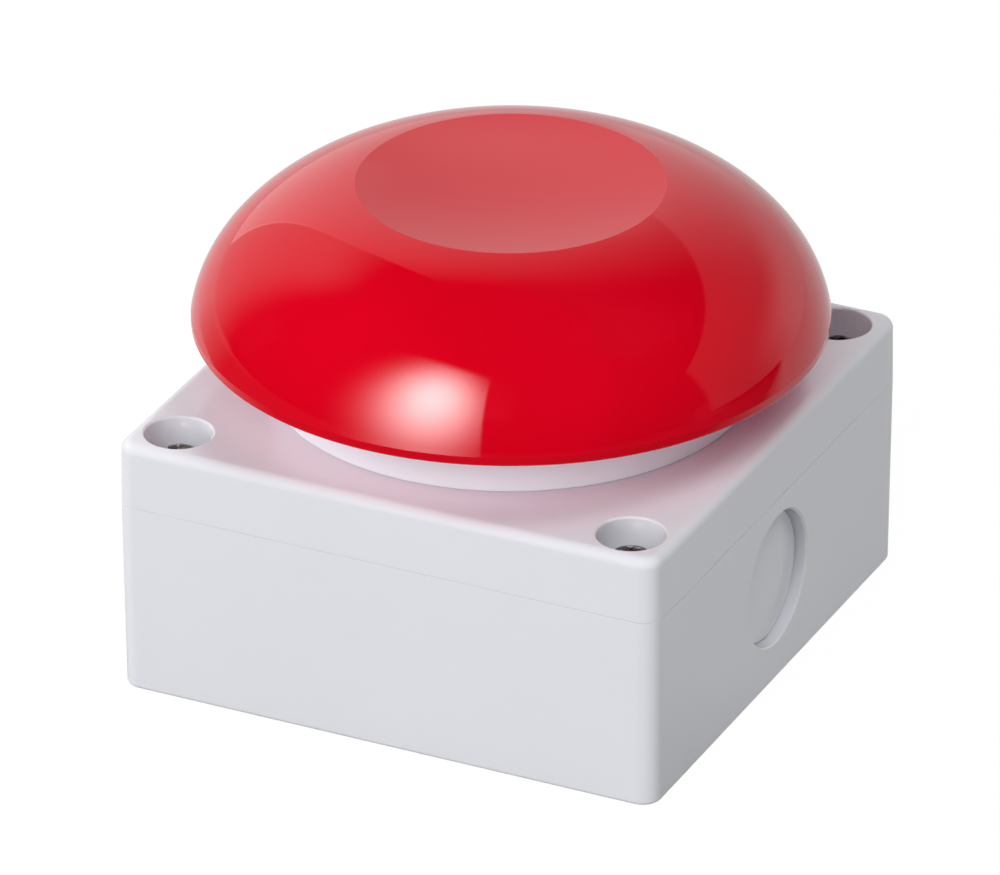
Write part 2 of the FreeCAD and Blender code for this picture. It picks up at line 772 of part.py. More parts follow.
class ContactBlock:
    """One contact block, its slider on Z, its closed side at -X and its cover at +X."""

    def __init__(self, prefix, x, facing, normally_open):
        self.prefix = prefix
        self.x = x
        self.facing = facing
        self.normally_open = normally_open
        self.fixed_bottom = terminal_bottom
        if normally_open:
            gap = press_travel * bridge_share + 2 * contact_clearance
            self.fixed_bottom = bridge_bottom - 2 * rivet_height - gap - strip_thickness
        self.window_top = bridge_top + contact_clearance
        if normally_open:
            self.window_top = bridge_top + contact_spring_length

    def placed(self, shape):
        """The shape turned and moved from the block's frame to its place."""
        if self.facing < 0:
            shape.rotate(Vector(), Z_AXIS, 180)
        shape.translate(Vector(self.x, 0, 0))
        return shape

    def pieces(self):
        """Every piece of the block by its node name."""
        makers = {
            "housing": self.housing,
            "cover": self.cover,
            "slider": self.slider,
            "bridge": self.bridge,
            "spring": self.spring,
            "terminals": self.terminals,
            "clamps": self.clamps,
            "screws": self.screws,
        }
        if self.normally_open:
            makers["lift_spring"] = self.lift_spring
        return {f"{self.prefix}_{name}": self.placed(make()) for name, make in makers.items()}

    def housing(self):
        """Moulded half with shelves for the strips, a guide for the slider and wire entries."""
        low_x = -block_width / 2
        cover_x = block_width / 2 - block_wall
        body = block(low_x, cover_x, -block_end, block_end, carrier_top, block_top)
        uprights = [edge for edge in body.Edges if edge.BoundBox.ZLength > 1 and edge.CenterOfMass.x < 0]
        body = body.makeFillet(block_edge_radius, uprights)
        inner_end = block_end - block_wall
        mouth = cover_x + OVERCUT
        body = body.cut(block(-cavity_half, mouth, -inner_end, inner_end, block_floor, block_ceiling))
        additions = [body]
        strip_end = bridge_length / 2 - strip_overlap
        for side in (-1, 1):
            if self.normally_open:
                shelf_end = self.step_place() - loose_clearance
                additions.append(self.span(side, strip_end, shelf_end, block_floor, self.fixed_bottom))
            pillar_start = self.step_place() + strip_thickness + loose_clearance
            pillar_end = terminal_offset - terminal_screw_radius - loose_clearance
            pillar = self.span(side, pillar_start, pillar_end, block_floor, terminal_bottom)
            guide_start = slider_depth / 2 + slider_clearance
            guide = self.span(side, guide_start, guide_start + block_wall, clamp_top, block_ceiling)
            additions += [pillar, guide]
        body = fused(additions)
        gap = slider_clearance
        half_x = slider_width / 2 + gap
        half_y = slider_depth / 2 + gap
        cuts = [block(-half_x, half_x, -half_y, half_y, clamp_top, block_top + OVERCUT)]
        entry_height = (clamp_top + block_ceiling) / 2
        notch_top = carrier_top + hook_height + loose_clearance
        notch_bottom = carrier_top + hook_height - hook_lip_height - seat_clearance
        notch_half = block_width / 4 + loose_clearance
        for side in (-1, 1):
            y = side * terminal_offset
            cuts.append(cylinder(terminal_hole_radius, clamp_top, block_top + OVERCUT, 0, y))
            start = Vector(0, side * (block_end + OVERCUT), entry_height)
            depth = block_wall + 2 * OVERCUT
            cuts.append(Part.makeCylinder(wire_entry_radius, depth, start, Y_AXIS * -side))
            notch_start = hook_face - hook_reach - seat_clearance
            y0, y1 = sorted((side * notch_start, side * (block_end + OVERCUT)))
            cuts.append(block(-notch_half, notch_half, y0, y1, notch_bottom, notch_top))
        return body.cut(cuts)

    def step_place(self):
        """Distance from the slider at which a strip steps up to its terminal."""
        return bridge_length / 2 + strip_step_gap

    def span(self, side, start, end, bottom, top):
        """Web across the block's cavity on one side of the slider."""
        y0, y1 = sorted((side * start, side * end))
        cover_x = block_width / 2 - block_wall
        return block(-cavity_half - block_wall / 2, cover_x, y0, y1, bottom - block_wall / 2, top)

    def cover(self):
        """Flat cover on the open side, with round upright edges."""
        cover_x = block_width / 2 - block_wall
        plate = block(cover_x, block_width / 2, -block_end, block_end, carrier_top, block_top)
        outer_x = block_width / 2 - block_wall / 3
        uprights = [e for e in plate.Edges if e.BoundBox.ZLength > 1 and e.CenterOfMass.x > outer_x]
        return plate.makeFillet(block_edge_radius, uprights)

    def slider(self):
        """Post with a window for the bridge; the closed block's window is open below."""
        half_x = slider_width / 2
        half_y = slider_depth / 2
        body = block(-half_x, half_x, -half_y, half_y, slider_bottom, slider_top)
        top_edges = edges_at(body, slider_top, -1)
        body = body.makeFillet(block_edge_radius, top_edges)
        window_bottom = bridge_bottom if self.normally_open else slider_bottom - OVERCUT
        window_half = half_x - slider_leg
        window = block(-window_half, window_half, -half_y - OVERCUT, half_y + OVERCUT,
                       window_bottom, self.window_top)
        return body.cut(window)

    def bridge(self):
        """Bar with a silver rivet near each end, facing the fixed strips."""
        half_y = bridge_length / 2
        half_x = bridge_width / 2
        bar = block(-half_x, half_x, -half_y, half_y, bridge_bottom, bridge_top)
        upright = [edge for edge in bar.Edges if edge.BoundBox.ZLength > 0.5]
        bar = bar.makeFillet(bridge_width / 4, upright)
        return fused([bar] + self.rivets(bridge_bottom, bridge_top, not self.normally_open))

    def rivets(self, bottom, top, upward):
        """Pair of contact rivets on one face of a bar or strip."""
        offset = bridge_length / 2 - rivet_inset
        middle = (bottom + top) / 2
        low, high = (middle, top + rivet_height) if upward else (bottom - rivet_height, middle)
        return [cylinder(rivet_radius, low, high, 0, side * offset) for side in (-1, 1)]

    def spring(self):
        """Contact spring above the open bridge or below the closed one."""
        size = (contact_spring_radius, contact_spring_wire_radius, contact_spring_turns)
        if self.normally_open:
            return coil_spring(*size, bridge_top, self.window_top)
        return coil_spring(*size, block_floor, bridge_bottom)

    def lift_spring(self):
        """Cone-shaped spring under the slider, which closes flat when the slider is down."""
        size = (lift_spring_radius, contact_spring_wire_radius, lift_spring_turns)
        return coil_spring(*size, block_floor, slider_bottom, lift_spring_half_angle)

    def terminals(self):
        """Two bent strips, each with a rivet at its inner end and a tapped hole at its terminal."""
        half_x = strip_width / 2
        start = bridge_length / 2 - strip_overlap
        end = block_end - block_wall - seat_clearance
        step = self.step_place()
        fixed_top = self.fixed_bottom + strip_thickness
        rivets = self.rivets(self.fixed_bottom, fixed_top, self.normally_open)
        strips = []
        for side, rivet in zip((-1, 1), rivets):
            step_end = step + strip_thickness
            step_bottom = min(self.fixed_bottom, terminal_bottom)
            spans = [(start, step_end, self.fixed_bottom, fixed_top)]
            spans.append((step, step_end, step_bottom, terminal_top))
            spans.append((step, end, terminal_bottom, terminal_top))
            pieces = [rivet]
            for near, far, low, high in spans:
                y0, y1 = sorted((side * near, side * far))
                pieces.append(block(-half_x, half_x, y0, y1, low, high))
            strip = fused(pieces)
            hole_radius = terminal_screw_radius + thread_clearance
            hole = cylinder(hole_radius, block_floor, block_top, 0, side * terminal_offset)
            strips.append(strip.cut(hole))
        return Part.makeCompound(strips)

    def clamps(self):
        """Two wire clamps, one under each terminal screw."""
        plates = []
        for side in (-1, 1):
            y = side * terminal_offset
            half_y = clamp_length / 2
            half_x = clamp_width / 2
            plate = block(-half_x, half_x, y - half_y, y + half_y, terminal_top, clamp_top)
            hole = cylinder(terminal_screw_radius + screw_clearance, block_floor, block_top, 0, y)
            plates.append(plate.cut(hole))
        return Part.makeCompound(plates)

    def screws(self):
        """Two terminal screws."""
        size = (terminal_screw_radius, terminal_screw_length, terminal_head_radius, terminal_head_height)
        places = (-terminal_offset, terminal_offset)
        return Part.makeCompound([headed_screw(*size, clamp_top, False, 0, y) for y in places])


def main():
    """Build every piece and write one file for each."""
    nodes = {
        "enclosure_base": enclosure_base(),
        "enclosure_lid": enclosure_lid(),
        "lid_gasket": lid_gasket(),
        "lid_screws": lid_screws(),
        "collar": collar(),
        "collar_gasket": collar_gasket(),
        "collar_screws": collar_screws(),
        "guide_bush": guide_bush(),
        "stem_seal": stem_seal(),
        "seal_cap": seal_cap(),
        "plunger": plunger(),
        "cap_screw": cap_screw(),
        "mushroom_cap": mushroom_cap(),
        "return_spring": return_spring(),
        "contact_carrier": contact_carrier(),
        "carrier_screws": carrier_screws(),
    }
    nodes.update(ContactBlock("no", block_spacing / 2, 1, True).pieces())
    nodes.update(ContactBlock("nc", -block_spacing / 2, -1, False).pieces())
    os.makedirs("parts", exist_ok=True)
    for name, shape in nodes.items():
        if not shape.isValid():
            raise ValueError(f"{name} is not a valid solid")
        shape.exportStep(f"parts/{name}.step")
        print(name, len(shape.Solids), round(shape.Volume, 1))


main()
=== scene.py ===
"""Looks of a mushroom push button: red dome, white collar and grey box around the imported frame."""

import logging
import math
from dataclasses import dataclass, field
from enum import Enum

import bmesh
import bpy
from bmesh.types import BMEdge, BMesh
from bpy.types import AreaLight, Material, Node, NodeSocket, Object, World
from mathutils import Matrix, Vector


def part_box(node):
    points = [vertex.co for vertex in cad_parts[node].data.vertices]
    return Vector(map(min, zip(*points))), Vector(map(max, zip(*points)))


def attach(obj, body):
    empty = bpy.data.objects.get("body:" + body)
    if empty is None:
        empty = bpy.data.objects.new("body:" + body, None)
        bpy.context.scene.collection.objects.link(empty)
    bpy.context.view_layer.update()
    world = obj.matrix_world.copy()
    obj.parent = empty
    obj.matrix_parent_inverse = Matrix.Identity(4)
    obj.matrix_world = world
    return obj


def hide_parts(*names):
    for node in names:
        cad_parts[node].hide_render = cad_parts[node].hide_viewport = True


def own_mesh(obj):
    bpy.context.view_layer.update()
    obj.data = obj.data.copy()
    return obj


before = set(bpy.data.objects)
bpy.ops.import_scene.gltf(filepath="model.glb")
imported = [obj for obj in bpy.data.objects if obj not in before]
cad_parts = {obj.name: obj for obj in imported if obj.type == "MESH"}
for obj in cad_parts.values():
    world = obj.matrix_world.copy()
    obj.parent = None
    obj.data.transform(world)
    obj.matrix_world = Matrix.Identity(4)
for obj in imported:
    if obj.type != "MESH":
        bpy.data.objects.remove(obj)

LOG = logging.getLogger("push_button")
MM = 0.001
# How far a tool reaches past the surface that it cuts.
OVER = 1.0 * MM
# Points nearer than this are one point, and shorter edges than the second value are none.
SAME_PLACE = 1e-7
NO_LENGTH = 1e-8
# Steps of a full turn, and of a block's upright corner.
ROUND_STEPS = 96
CORNER_STEPS = 10
# How strongly large faces pull the shading flat. 50 is neutral.
FLAT_FACE_WEIGHT = 80
# A plastic's gloss pattern is this many times finer than its flow, a metal's tone that much coarser.
PATTERN_RATIO = 4
WHITE = (1.0, 1.0, 1.0, 1.0)
Place = tuple[float, float]
Colour = tuple[float, float, float]


class Operation(Enum):
    """How one mesh works on another."""

    ADD = "UNION"
    CUT = "DIFFERENCE"
    KEEP = "INTERSECT"


def corners_of(offset_x: float, offset_y: float) -> list[Place]:
    """Give the corners of a rectangle centred on Z, that far from it along X and Y."""
    return [(sx * offset_x, sy * offset_y) for sx in (-1, 1) for sy in (-1, 1)]


def on_circle(radius: float, count: int, first_angle: float) -> list[Place]:
    """Give places spread evenly on a circle about Z.

    Args:
        radius: the circle's radius.
        count: how many places.
        first_angle: the first one's angle from +X in degrees.

    Returns:
        The places.
    """
    step = 2 * math.pi / count
    angles = [math.radians(first_angle) + index * step for index in range(count)]
    return [(radius * math.cos(angle), radius * math.sin(angle)) for angle in angles]


def arc_points(centre: Place, radius: float, first: float, last: float, steps: int) -> list[Place]:
    """Give points along an arc in a section's plane.

    Args:
        centre: the arc's centre.
        radius: its radius.
        first: angle of the first point in degrees.
        last: angle of the last point in degrees.
        steps: how many chords stand for the arc.

    Returns:
        The points, ends included.
    """
    turn = math.radians(last - first) / steps
    angles = [math.radians(first) + index * turn for index in range(steps + 1)]
    return [(centre[0] + radius * math.cos(angle), centre[1] + radius * math.sin(angle)) for angle in angles]


def drum(radius: float, low: float, high: float, place: Place = (0.0, 0.0)) -> BMesh:
    """Make an upright cylinder.

    Args:
        radius: its radius.
        low: height of its lower end.
        high: height of its upper end.
        place: where its axis stands.

    Returns:
        The cylinder's mesh.
    """
    bm = bmesh.new()
    middle = Matrix.Translation((place[0], place[1], (low + high) / 2))
    bmesh.ops.create_cone(bm, cap_ends=True, segments=ROUND_STEPS, radius1=radius, radius2=radius,
                          depth=high - low, matrix=middle)
    return bm


def slab(low: Vector, high: Vector) -> BMesh:
    """Make a box between two corners.

    Args:
        low: its lowest corner.
        high: its highest corner.

    Returns:
        The box's mesh.
    """
    bm = bmesh.new()
    size = high - low
    scale = Matrix.Diagonal((size.x, size.y, size.z, 1.0))
    bmesh.ops.create_cube(bm, size=1.0, matrix=Matrix.Translation((low + high) / 2) @ scale)
    return bm


def turned(section: list[Place], steps: int = ROUND_STEPS) -> BMesh:
    """Spin a closed section about Z.

    Args:
        section: (radius, height) points, in order; the last joins the first.
        steps: how many steps make the turn.

    Returns:
        The turned mesh, closed and facing outwards.
    """
    bm = bmesh.new()
    corners = [bm.verts.new((radius, 0.0, height)) for radius, height in section]
    edges = [bm.edges.new((corners[i - 1], corners[i])) for i in range(len(corners))]
    bmesh.ops.spin(bm, geom=corners + edges, axis=(0, 0, 1), cent=(0, 0, 0), angle=2 * math.pi, steps=steps,
                   use_merge=True)
    bmesh.ops.remove_doubles(bm, verts=bm.verts, dist=SAME_PLACE)
    bmesh.ops.dissolve_degenerate(bm, edges=bm.edges, dist=NO_LENGTH)
    bmesh.ops.recalc_face_normals(bm, faces=bm.faces)
    return bm


def flat_edges(bm: BMesh, height: float) -> list[BMEdge]:
    """Find a mesh's edges that lie flat at a height."""
    return [edge for edge in bm.edges if all(abs(vert.co.z - height) < SAME_PLACE for vert in edge.verts)]


def round_over(bm: BMesh, edges: list[BMEdge], radius: float, segments: int) -> None:
    """Round edges over.

    Args:
        bm: the mesh.
        edges: its edges to round.
        radius: how far the rounding reaches from the edge.
        segments: how many strips make it.
    """
    bmesh.ops.bevel(bm, geom=edges, offset=radius, segments=segments, affect="EDGES", profile=0.5,
                    material=-1, clamp_overlap=True)


def square_block(low_half: float, high_half: float, radius: float, low: float, high: float) -> BMesh:
    """Make a square block with round upright corners and evenly leaning sides.

    Args:
        low_half: half its width at the bottom.
        high_half: half its width at the top.
        radius: radius of the upright corners.
        low: height of the bottom.
        high: height of the top.

    Returns:
        The block's mesh.
    """
    bm = slab(Vector((-high_half, -high_half, low)), Vector((high_half, high_half, high)))
    for vert in bm.verts:
        if vert.co.z < (low + high) / 2:
            vert.co.x *= low_half / high_half
            vert.co.y *= low_half / high_half
    half_height = (high - low) / 2
    upright = [edge for edge in bm.edges if abs(edge.verts[0].co.z - edge.verts[1].co.z) > half_height]
    round_over(bm, upright, radius, CORNER_STEPS)
    return bm


def spokes(low: Vector, high: Vector, count: int, first_share: float = 0.0) -> list[BMesh]:
    """Make ribs that stand out from Z like spokes.

    Args:
        low: lowest corner of a rib that runs along X.
        high: its highest corner.
        count: how many ribs go round.
        first_share: how far the first one is turned on from X, as a share of the step between two.

    Returns:
        The ribs' meshes.
    """
    ribs = []
    for index in range(count):
        rib = slab(low, high)
        turn = Matrix.Rotation((index + first_share) * 2 * math.pi / count, 3, "Z")
        bmesh.ops.rotate(rib, cent=(0, 0, 0), matrix=turn, verts=rib.verts)
        ribs.append(rib)
    return ribs


def gathered(meshes: list[BMesh]) -> BMesh:
    """Put meshes that don't touch into one.

    Args:
        meshes: the meshes, which are freed.

    Returns:
        One mesh that holds them all.
    """
    whole = bmesh.new()
    for bm in meshes:
        part = bpy.data.meshes.new("part")
        bm.to_mesh(part)
        bm.free()
        whole.from_mesh(part)
        bpy.data.meshes.remove(part)
    return whole


def new_object(name: str, bm: BMesh) -> Object:
    """Make an object of a mesh and link it to the scene.

    Args:
        name: the object's name.
        bm: its mesh, which is freed.

    Returns:
        The object.
    """
    mesh = bpy.data.meshes.new(name)
    bm.to_mesh(mesh)
    bm.free()
    made = bpy.data.objects.new(name, mesh)
    bpy.context.scene.collection.objects.link(made)
    return made


def remove_helper(helper: Object) -> None:
    """Remove a helper object and its mesh.

    Args:
        helper: the object.
    """
    mesh = helper.data
    bpy.data.objects.remove(helper)
    bpy.data.meshes.remove(mesh)


def work(piece: Object, tool: BMesh, operation: Operation) -> None:
    """Add a tool's mesh to a piece, cut it away or keep what both share.

    Args:
        piece: the piece that changes.
        tool: the tool's mesh, which is freed.
        operation: what the tool does.
    """
    helper = new_object("tool", tool)
    modifier = piece.modifiers.new("work", "BOOLEAN")
    modifier.operation = operation.value
    modifier.solver = "EXACT"
    modifier.object = helper
    bpy.context.view_layer.update()
    graph = bpy.context.evaluated_depsgraph_get()
    result = bpy.data.meshes.new_from_object(piece.evaluated_get(graph))
    piece.modifiers.clear()
    old = piece.data
    piece.data = result
    bpy.data.meshes.remove(old)
    remove_helper(helper)


def combined(first: BMesh, tools: list[BMesh], operation: Operation) -> BMesh:
    """Work on a mesh with tools, one after the other.

    Args:
        first: the mesh to work on, which is freed.
        tools: the tools' meshes, which are freed.
        operation: what each tool does.

    Returns:
        The resulting mesh.
    """
    helper = new_object("helper", first)
    for tool in tools:
        work(helper, tool, operation)
    bm = bmesh.new()
    bm.from_mesh(helper.data)
    remove_helper(helper)
    return bm


def finish_piece(piece: Object, body: str, nodes: tuple[str, ...], sharp_angle: float = 35.0) -> None:
    """Clean and shade a piece and put it on its body in place of its CAD nodes.

    Args:
        piece: the piece.
        body: the body that it rides on.
        nodes: the CAD nodes that it stands for.
        sharp_angle: edges that turn more than this many degrees stay sharp.
    """
    bm = bmesh.new()
    bm.from_mesh(piece.data)
    bmesh.ops.remove_doubles(bm, verts=bm.verts, dist=SAME_PLACE)
    bmesh.ops.dissolve_degenerate(bm, edges=bm.edges, dist=SAME_PLACE)
    bm.to_mesh(piece.data)
    bm.free()
    piece.data.name = piece.name
    piece.data.polygons.foreach_set("use_smooth", [True] * len(piece.data.polygons))
    piece.data.set_sharp_from_angle(angle=math.radians(sharp_angle))
    normals = piece.modifiers.new("normals", "WEIGHTED_NORMAL")
    normals.keep_sharp = True
    normals.weight = FLAT_FACE_WEIGHT
    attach(piece, body)
    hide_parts(*nodes)
    LOG.info("%s: %d faces on %s", piece.name, len(piece.data.polygons), body)


class Nodes:
    """The nodes of a material, a light or the world, with short ways to add and link them."""

    def __init__(self, owner: Material | AreaLight | World) -> None:
        """Start with the tree of the material, light or world that they belong to."""
        owner.use_nodes = True
        self.tree = owner.node_tree

    def add(self, kind: str, **values: object) -> Node:
        """Add a node.

        Args:
            kind: the node's type.
            values: its properties, or its inputs' values by name with underscores for spaces.

        Returns:
            The node.
        """
        node = self.tree.nodes.new(kind)
        for name, value in values.items():
            socket = node.inputs.get(name.replace("_", " "))
            if socket is not None:
                socket.default_value = value
            else:
                setattr(node, name, value)
        return node

    def link(self, source: NodeSocket, target: NodeSocket) -> None:
        """Link two sockets."""
        self.tree.links.new(source, target)

    def math(self, operation: str, *values: NodeSocket | float) -> NodeSocket:
        """Calculate with sockets and numbers.

        Args:
            operation: what to calculate.
            values: the sockets and numbers, in the order in which the operation takes them.

        Returns:
            The socket with the result.
        """
        node = self.add("ShaderNodeMath", operation=operation)
        for socket, value in zip(node.inputs, values):
            if isinstance(value, NodeSocket):
                self.link(value, socket)
            else:
                socket.default_value = value
        return node.outputs[0]

    def spread(self, value: NodeSocket, low: float, high: float, from_low: float = 0.3,
               from_high: float = 0.7) -> NodeSocket:
        """Map a value between two limits.

        Args:
            value: the value.
            low: what it becomes at its low end.
            high: what it becomes at its high end.
            from_low: its low end, at first the low end of a noise.
            from_high: its high end, at first the high end of a noise.

        Returns:
            The socket with the mapped value.
        """
        node = self.add("ShaderNodeMapRange", From_Min=from_low, From_Max=from_high, To_Min=low,
                        To_Max=high)
        self.link(value, node.inputs["Value"])
        return node.outputs["Result"]

    def ramp(self, value: NodeSocket, start: float, end: float) -> NodeSocket:
        """Rise smoothly from 0 to 1.

        Args:
            value: the value.
            start: where the rise starts.
            end: where it ends.

        Returns:
            The socket with the rise.
        """
        node = self.add("ShaderNodeMapRange", interpolation_type="SMOOTHSTEP", From_Min=start,
                        From_Max=end)
        self.link(value, node.inputs["Value"])
        return node.outputs["Result"]


class MaterialNodes(Nodes):
    """The nodes of a new material around its Principled shader."""

    def __init__(self, name: str) -> None:
        """Start the material.

        Args:
            name: the material's name.
        """
        self.material = bpy.data.materials.new(name)
        super().__init__(self.material)
        self.tree.nodes.clear()
        self.shader = self.add("ShaderNodeBsdfPrincipled")
        self.output = self.add("ShaderNodeOutputMaterial")
        self.link(self.shader.outputs[0], self.output.inputs["Surface"])
        self.place = self.add("ShaderNodeTexCoord").outputs["Object"]

    def noise(self, scale: float, detail: float) -> NodeSocket:
        """Add a noise pattern in the object's own space.

        Args:
            scale: how many features lie on a metre.
            detail: how many finer layers it has.

        Returns:
            The socket with the noise's value.
        """
        node = self.add("ShaderNodeTexNoise", Scale=scale, Detail=detail)
        self.link(self.place, node.inputs["Vector"])
        return node.outputs["Fac"]

    def blend(self, share: NodeSocket, first: NodeSocket | Colour, second: Colour) -> NodeSocket:
        """Mix two colours.

        Args:
            share: the second colour's share.
            first: the first colour, or the socket that gives it.
            second: the second colour.

        Returns:
            The socket with the mixed colour.
        """
        node = self.add("ShaderNodeMix", data_type="RGBA")
        # A Mix node holds its number and vector sockets before those for colours.
        first_socket, second_socket, mixed = node.inputs[6], node.inputs[7], node.outputs[2]
        if isinstance(first, NodeSocket):
            self.link(first, first_socket)
        else:
            first_socket.default_value = (*first, 1.0)
        second_socket.default_value = (*second, 1.0)
        self.link(share, node.inputs[0])
        return mixed

    def bump(self, height: NodeSocket, distance: float, strength: float) -> None:
        """Raise the surface by a pattern.

        Args:
            height: the pattern.
            distance: how far the pattern's full height stands out, in metres.
            strength: how much of it shows.
        """
        node = self.add("ShaderNodeBump", Distance=distance, Strength=strength)
        self.link(height, node.inputs["Height"])
        self.link(node.outputs["Normal"], self.shader.inputs["Normal"])

    def mix_in(self, share: NodeSocket, other: Node) -> None:
        """Mix another shader into the Principled one.

        Args:
            share: the other shader's share.
            other: the other shader.
        """
        mix = self.add("ShaderNodeMixShader")
        self.link(share, mix.inputs[0])
        self.link(self.shader.outputs[0], mix.inputs[1])
        self.link(other.outputs[0], mix.inputs[2])
        self.link(mix.outputs[0], self.output.inputs["Surface"])


@dataclass(frozen=True)
class MouldedPlastic:
    """A moulded plastic with faint uneven tone, gloss and surface."""

    name: str
    colour: Colour
    second: Colour
    roughness: float = 0.3
    roughness_spread: float = 0.05
    ior: float = 1.49
    flow_scale: float = 35.0
    grain_scale: float = 900.0
    grain_depth: float = 0.004 * MM
    grain_strength: float = 0.6
    speck_colour: Colour | None = None
    speck_cells: float = 120.0
    speck_radius: tuple[float, float] = (0.012, 0.03)
    speck_rarity: tuple[float, float] = (0.62, 0.66)
    speck_strength: float = 0.5
    soak_share: float = 0.0
    soak_colour: Colour = (1.0, 0.0, 0.5)

    def make(self) -> Material:
        """Build the material.

        Returns:
            The material.
        """
        nodes = MaterialNodes(self.name)
        flow = nodes.noise(self.flow_scale, detail=3.0)
        colour = nodes.blend(nodes.spread(flow, 0.0, 1.0), self.colour, self.second)
        if self.speck_colour is not None:
            colour = self.with_specks(nodes, colour)
        nodes.link(colour, nodes.shader.inputs["Base Color"])
        low = self.roughness - self.roughness_spread
        high = self.roughness + self.roughness_spread
        gloss = nodes.noise(self.flow_scale * PATTERN_RATIO, detail=4.0)
        nodes.link(nodes.spread(gloss, low, high), nodes.shader.inputs["Roughness"])
        nodes.shader.inputs["IOR"].default_value = self.ior
        nodes.bump(nodes.noise(self.grain_scale, detail=2.0), self.grain_depth, self.grain_strength)
        if self.soak_share:
            self.let_light_soak(nodes)
        return nodes.material

    def let_light_soak(self, nodes: MaterialNodes) -> None:
        """Let light soak through the wall and colour the matte surfaces behind it.

        Args:
            nodes: the material's nodes.
        """
        matte = nodes.add("ShaderNodeLightPath").outputs["Is Diffuse Ray"]
        soaked = nodes.add("ShaderNodeBsdfTranslucent", Color=(*self.soak_colour, 1.0))
        nodes.mix_in(nodes.math("MULTIPLY", matte, self.soak_share), soaked)

    def with_specks(self, nodes: MaterialNodes, colour: NodeSocket) -> NodeSocket:
        """Scatter a few tiny dark specks of dust over a colour.

        Args:
            nodes: the material's nodes.
            colour: the colour under the specks.

        Returns:
            The socket with the colour and its specks.
        """
        cells = nodes.add("ShaderNodeTexVoronoi", Scale=self.speck_cells, Randomness=1.0)
        nodes.link(nodes.place, cells.inputs["Vector"])
        near = nodes.spread(cells.outputs["Distance"], 1.0, 0.0, *self.speck_radius)
        chance = nodes.noise(self.speck_cells / 2, detail=1.0)
        rare = nodes.spread(chance, 0.0, self.speck_strength, *self.speck_rarity)
        return nodes.blend(nodes.math("MULTIPLY", near, rare), colour, self.speck_colour)


@dataclass(frozen=True)
class Metal:
    """A plated or stamped metal with fine scratches and a patchy tone; on the lid screws the bright patches
    are painted glints.
    """

    name: str
    colour: Colour
    second: Colour
    roughness: float = 0.25
    scratch_scale: float = 2500.0
    first_tone: float = 0.3
    last_tone: float = 0.7
    scratch_depth: float = 0.003 * MM
    scratch_strength: float = 0.5
    gloss_shares: tuple[float, float] = (0.7, 1.4)

    def make(self) -> Material:
        """Build the material.

        Returns:
            The material.
        """
        nodes = MaterialNodes(self.name)
        nodes.shader.inputs["Metallic"].default_value = 1.0
        # Coarse patches mix the two colours by tone; on the lid screws a narrow tone range leaves bright
        # patches that are painted glints.
        tone_and_glint_patches = nodes.noise(self.scratch_scale / PATTERN_RATIO, detail=5.0)
        tone = nodes.spread(tone_and_glint_patches, 0.0, 1.0, self.first_tone, self.last_tone)
        nodes.link(nodes.blend(tone, self.colour, self.second), nodes.shader.inputs["Base Color"])
        scratch = nodes.noise(self.scratch_scale, detail=2.0)
        rough = nodes.spread(scratch, *(self.roughness * share for share in self.gloss_shares))
        nodes.link(rough, nodes.shader.inputs["Roughness"])
        nodes.bump(scratch, self.scratch_depth, self.scratch_strength)
        return nodes.material


class Finish(Enum):
    """The finishes of the button's pieces: a name, two tones, the roughness and what else differs."""

    BOX = MouldedPlastic("box_plastic", (0.790, 0.802, 0.850), (0.803, 0.813, 0.860), 0.16, 0.03,
                         speck_colour=(0.25, 0.22, 0.20))
    COLLAR = MouldedPlastic("collar_plastic", (0.86, 0.89, 0.945), (0.875, 0.905, 0.955), 0.32, 0.04)
    CAP = MouldedPlastic("cap_plastic", (0.605, 0.0, 0.009), (0.62, 0.0, 0.012), 0.05, 0.015,
                         grain_scale=300.0, grain_depth=0.001 * MM, soak_share=0.36)
    GUIDE = MouldedPlastic("guide_plastic", (0.75, 0.74, 0.70), (0.72, 0.71, 0.66), 0.4)
    PLUNGER = MouldedPlastic("plunger_plastic", (0.03, 0.03, 0.033), (0.04, 0.04, 0.043), 0.38)
    BLOCK = MouldedPlastic("block_plastic", (0.05, 0.053, 0.056), (0.06, 0.063, 0.066), 0.42)
    COVER = MouldedPlastic("cover_plastic", (0.20, 0.21, 0.22), (0.22, 0.23, 0.24), 0.3)
    SLIDER_GREEN = MouldedPlastic("slider_green_plastic", (0.01, 0.22, 0.05), (0.012, 0.25, 0.06), 0.35)
    SLIDER_RED = MouldedPlastic("slider_red_plastic", (0.45, 0.01, 0.01), (0.48, 0.012, 0.012), 0.35)
    RUBBER = MouldedPlastic("seal_rubber", (0.02, 0.02, 0.021), (0.028, 0.028, 0.029), 0.65, 0.08)
    # The lid screws are a near-black plating. Bright patches where the coarse noise lies low are painted
    # glints.
    LID_SCREW = Metal("lid_screw_plating", (0.80, 0.73, 0.66), (0.07, 0.052, 0.045), 0.2,
                      scratch_scale=3600.0, first_tone=0.40, last_tone=0.46)
    SCREW = Metal("screw_plating", (0.60, 0.58, 0.55), (0.45, 0.43, 0.41), 0.2)
    SPRING = Metal("spring_wire", (0.50, 0.50, 0.51), (0.40, 0.40, 0.41), 0.28)
    CONTACT = Metal("contact_brass", (0.75, 0.56, 0.26), (0.66, 0.47, 0.20), 0.3)


class Wardrobe:
    """Makes each finish once and puts it on pieces."""

    def __init__(self) -> None:
        """Start with no finish made."""
        self.made: dict[Finish, Material] = {}

    def dress(self, piece: Object, finish: Finish) -> None:
        """Put a finish on a piece.

        Args:
            piece: the piece.
            finish: its finish.
        """
        if finish not in self.made:
            self.made[finish] = finish.value.make()
        piece.data.materials.clear()
        piece.data.materials.append(self.made[finish])


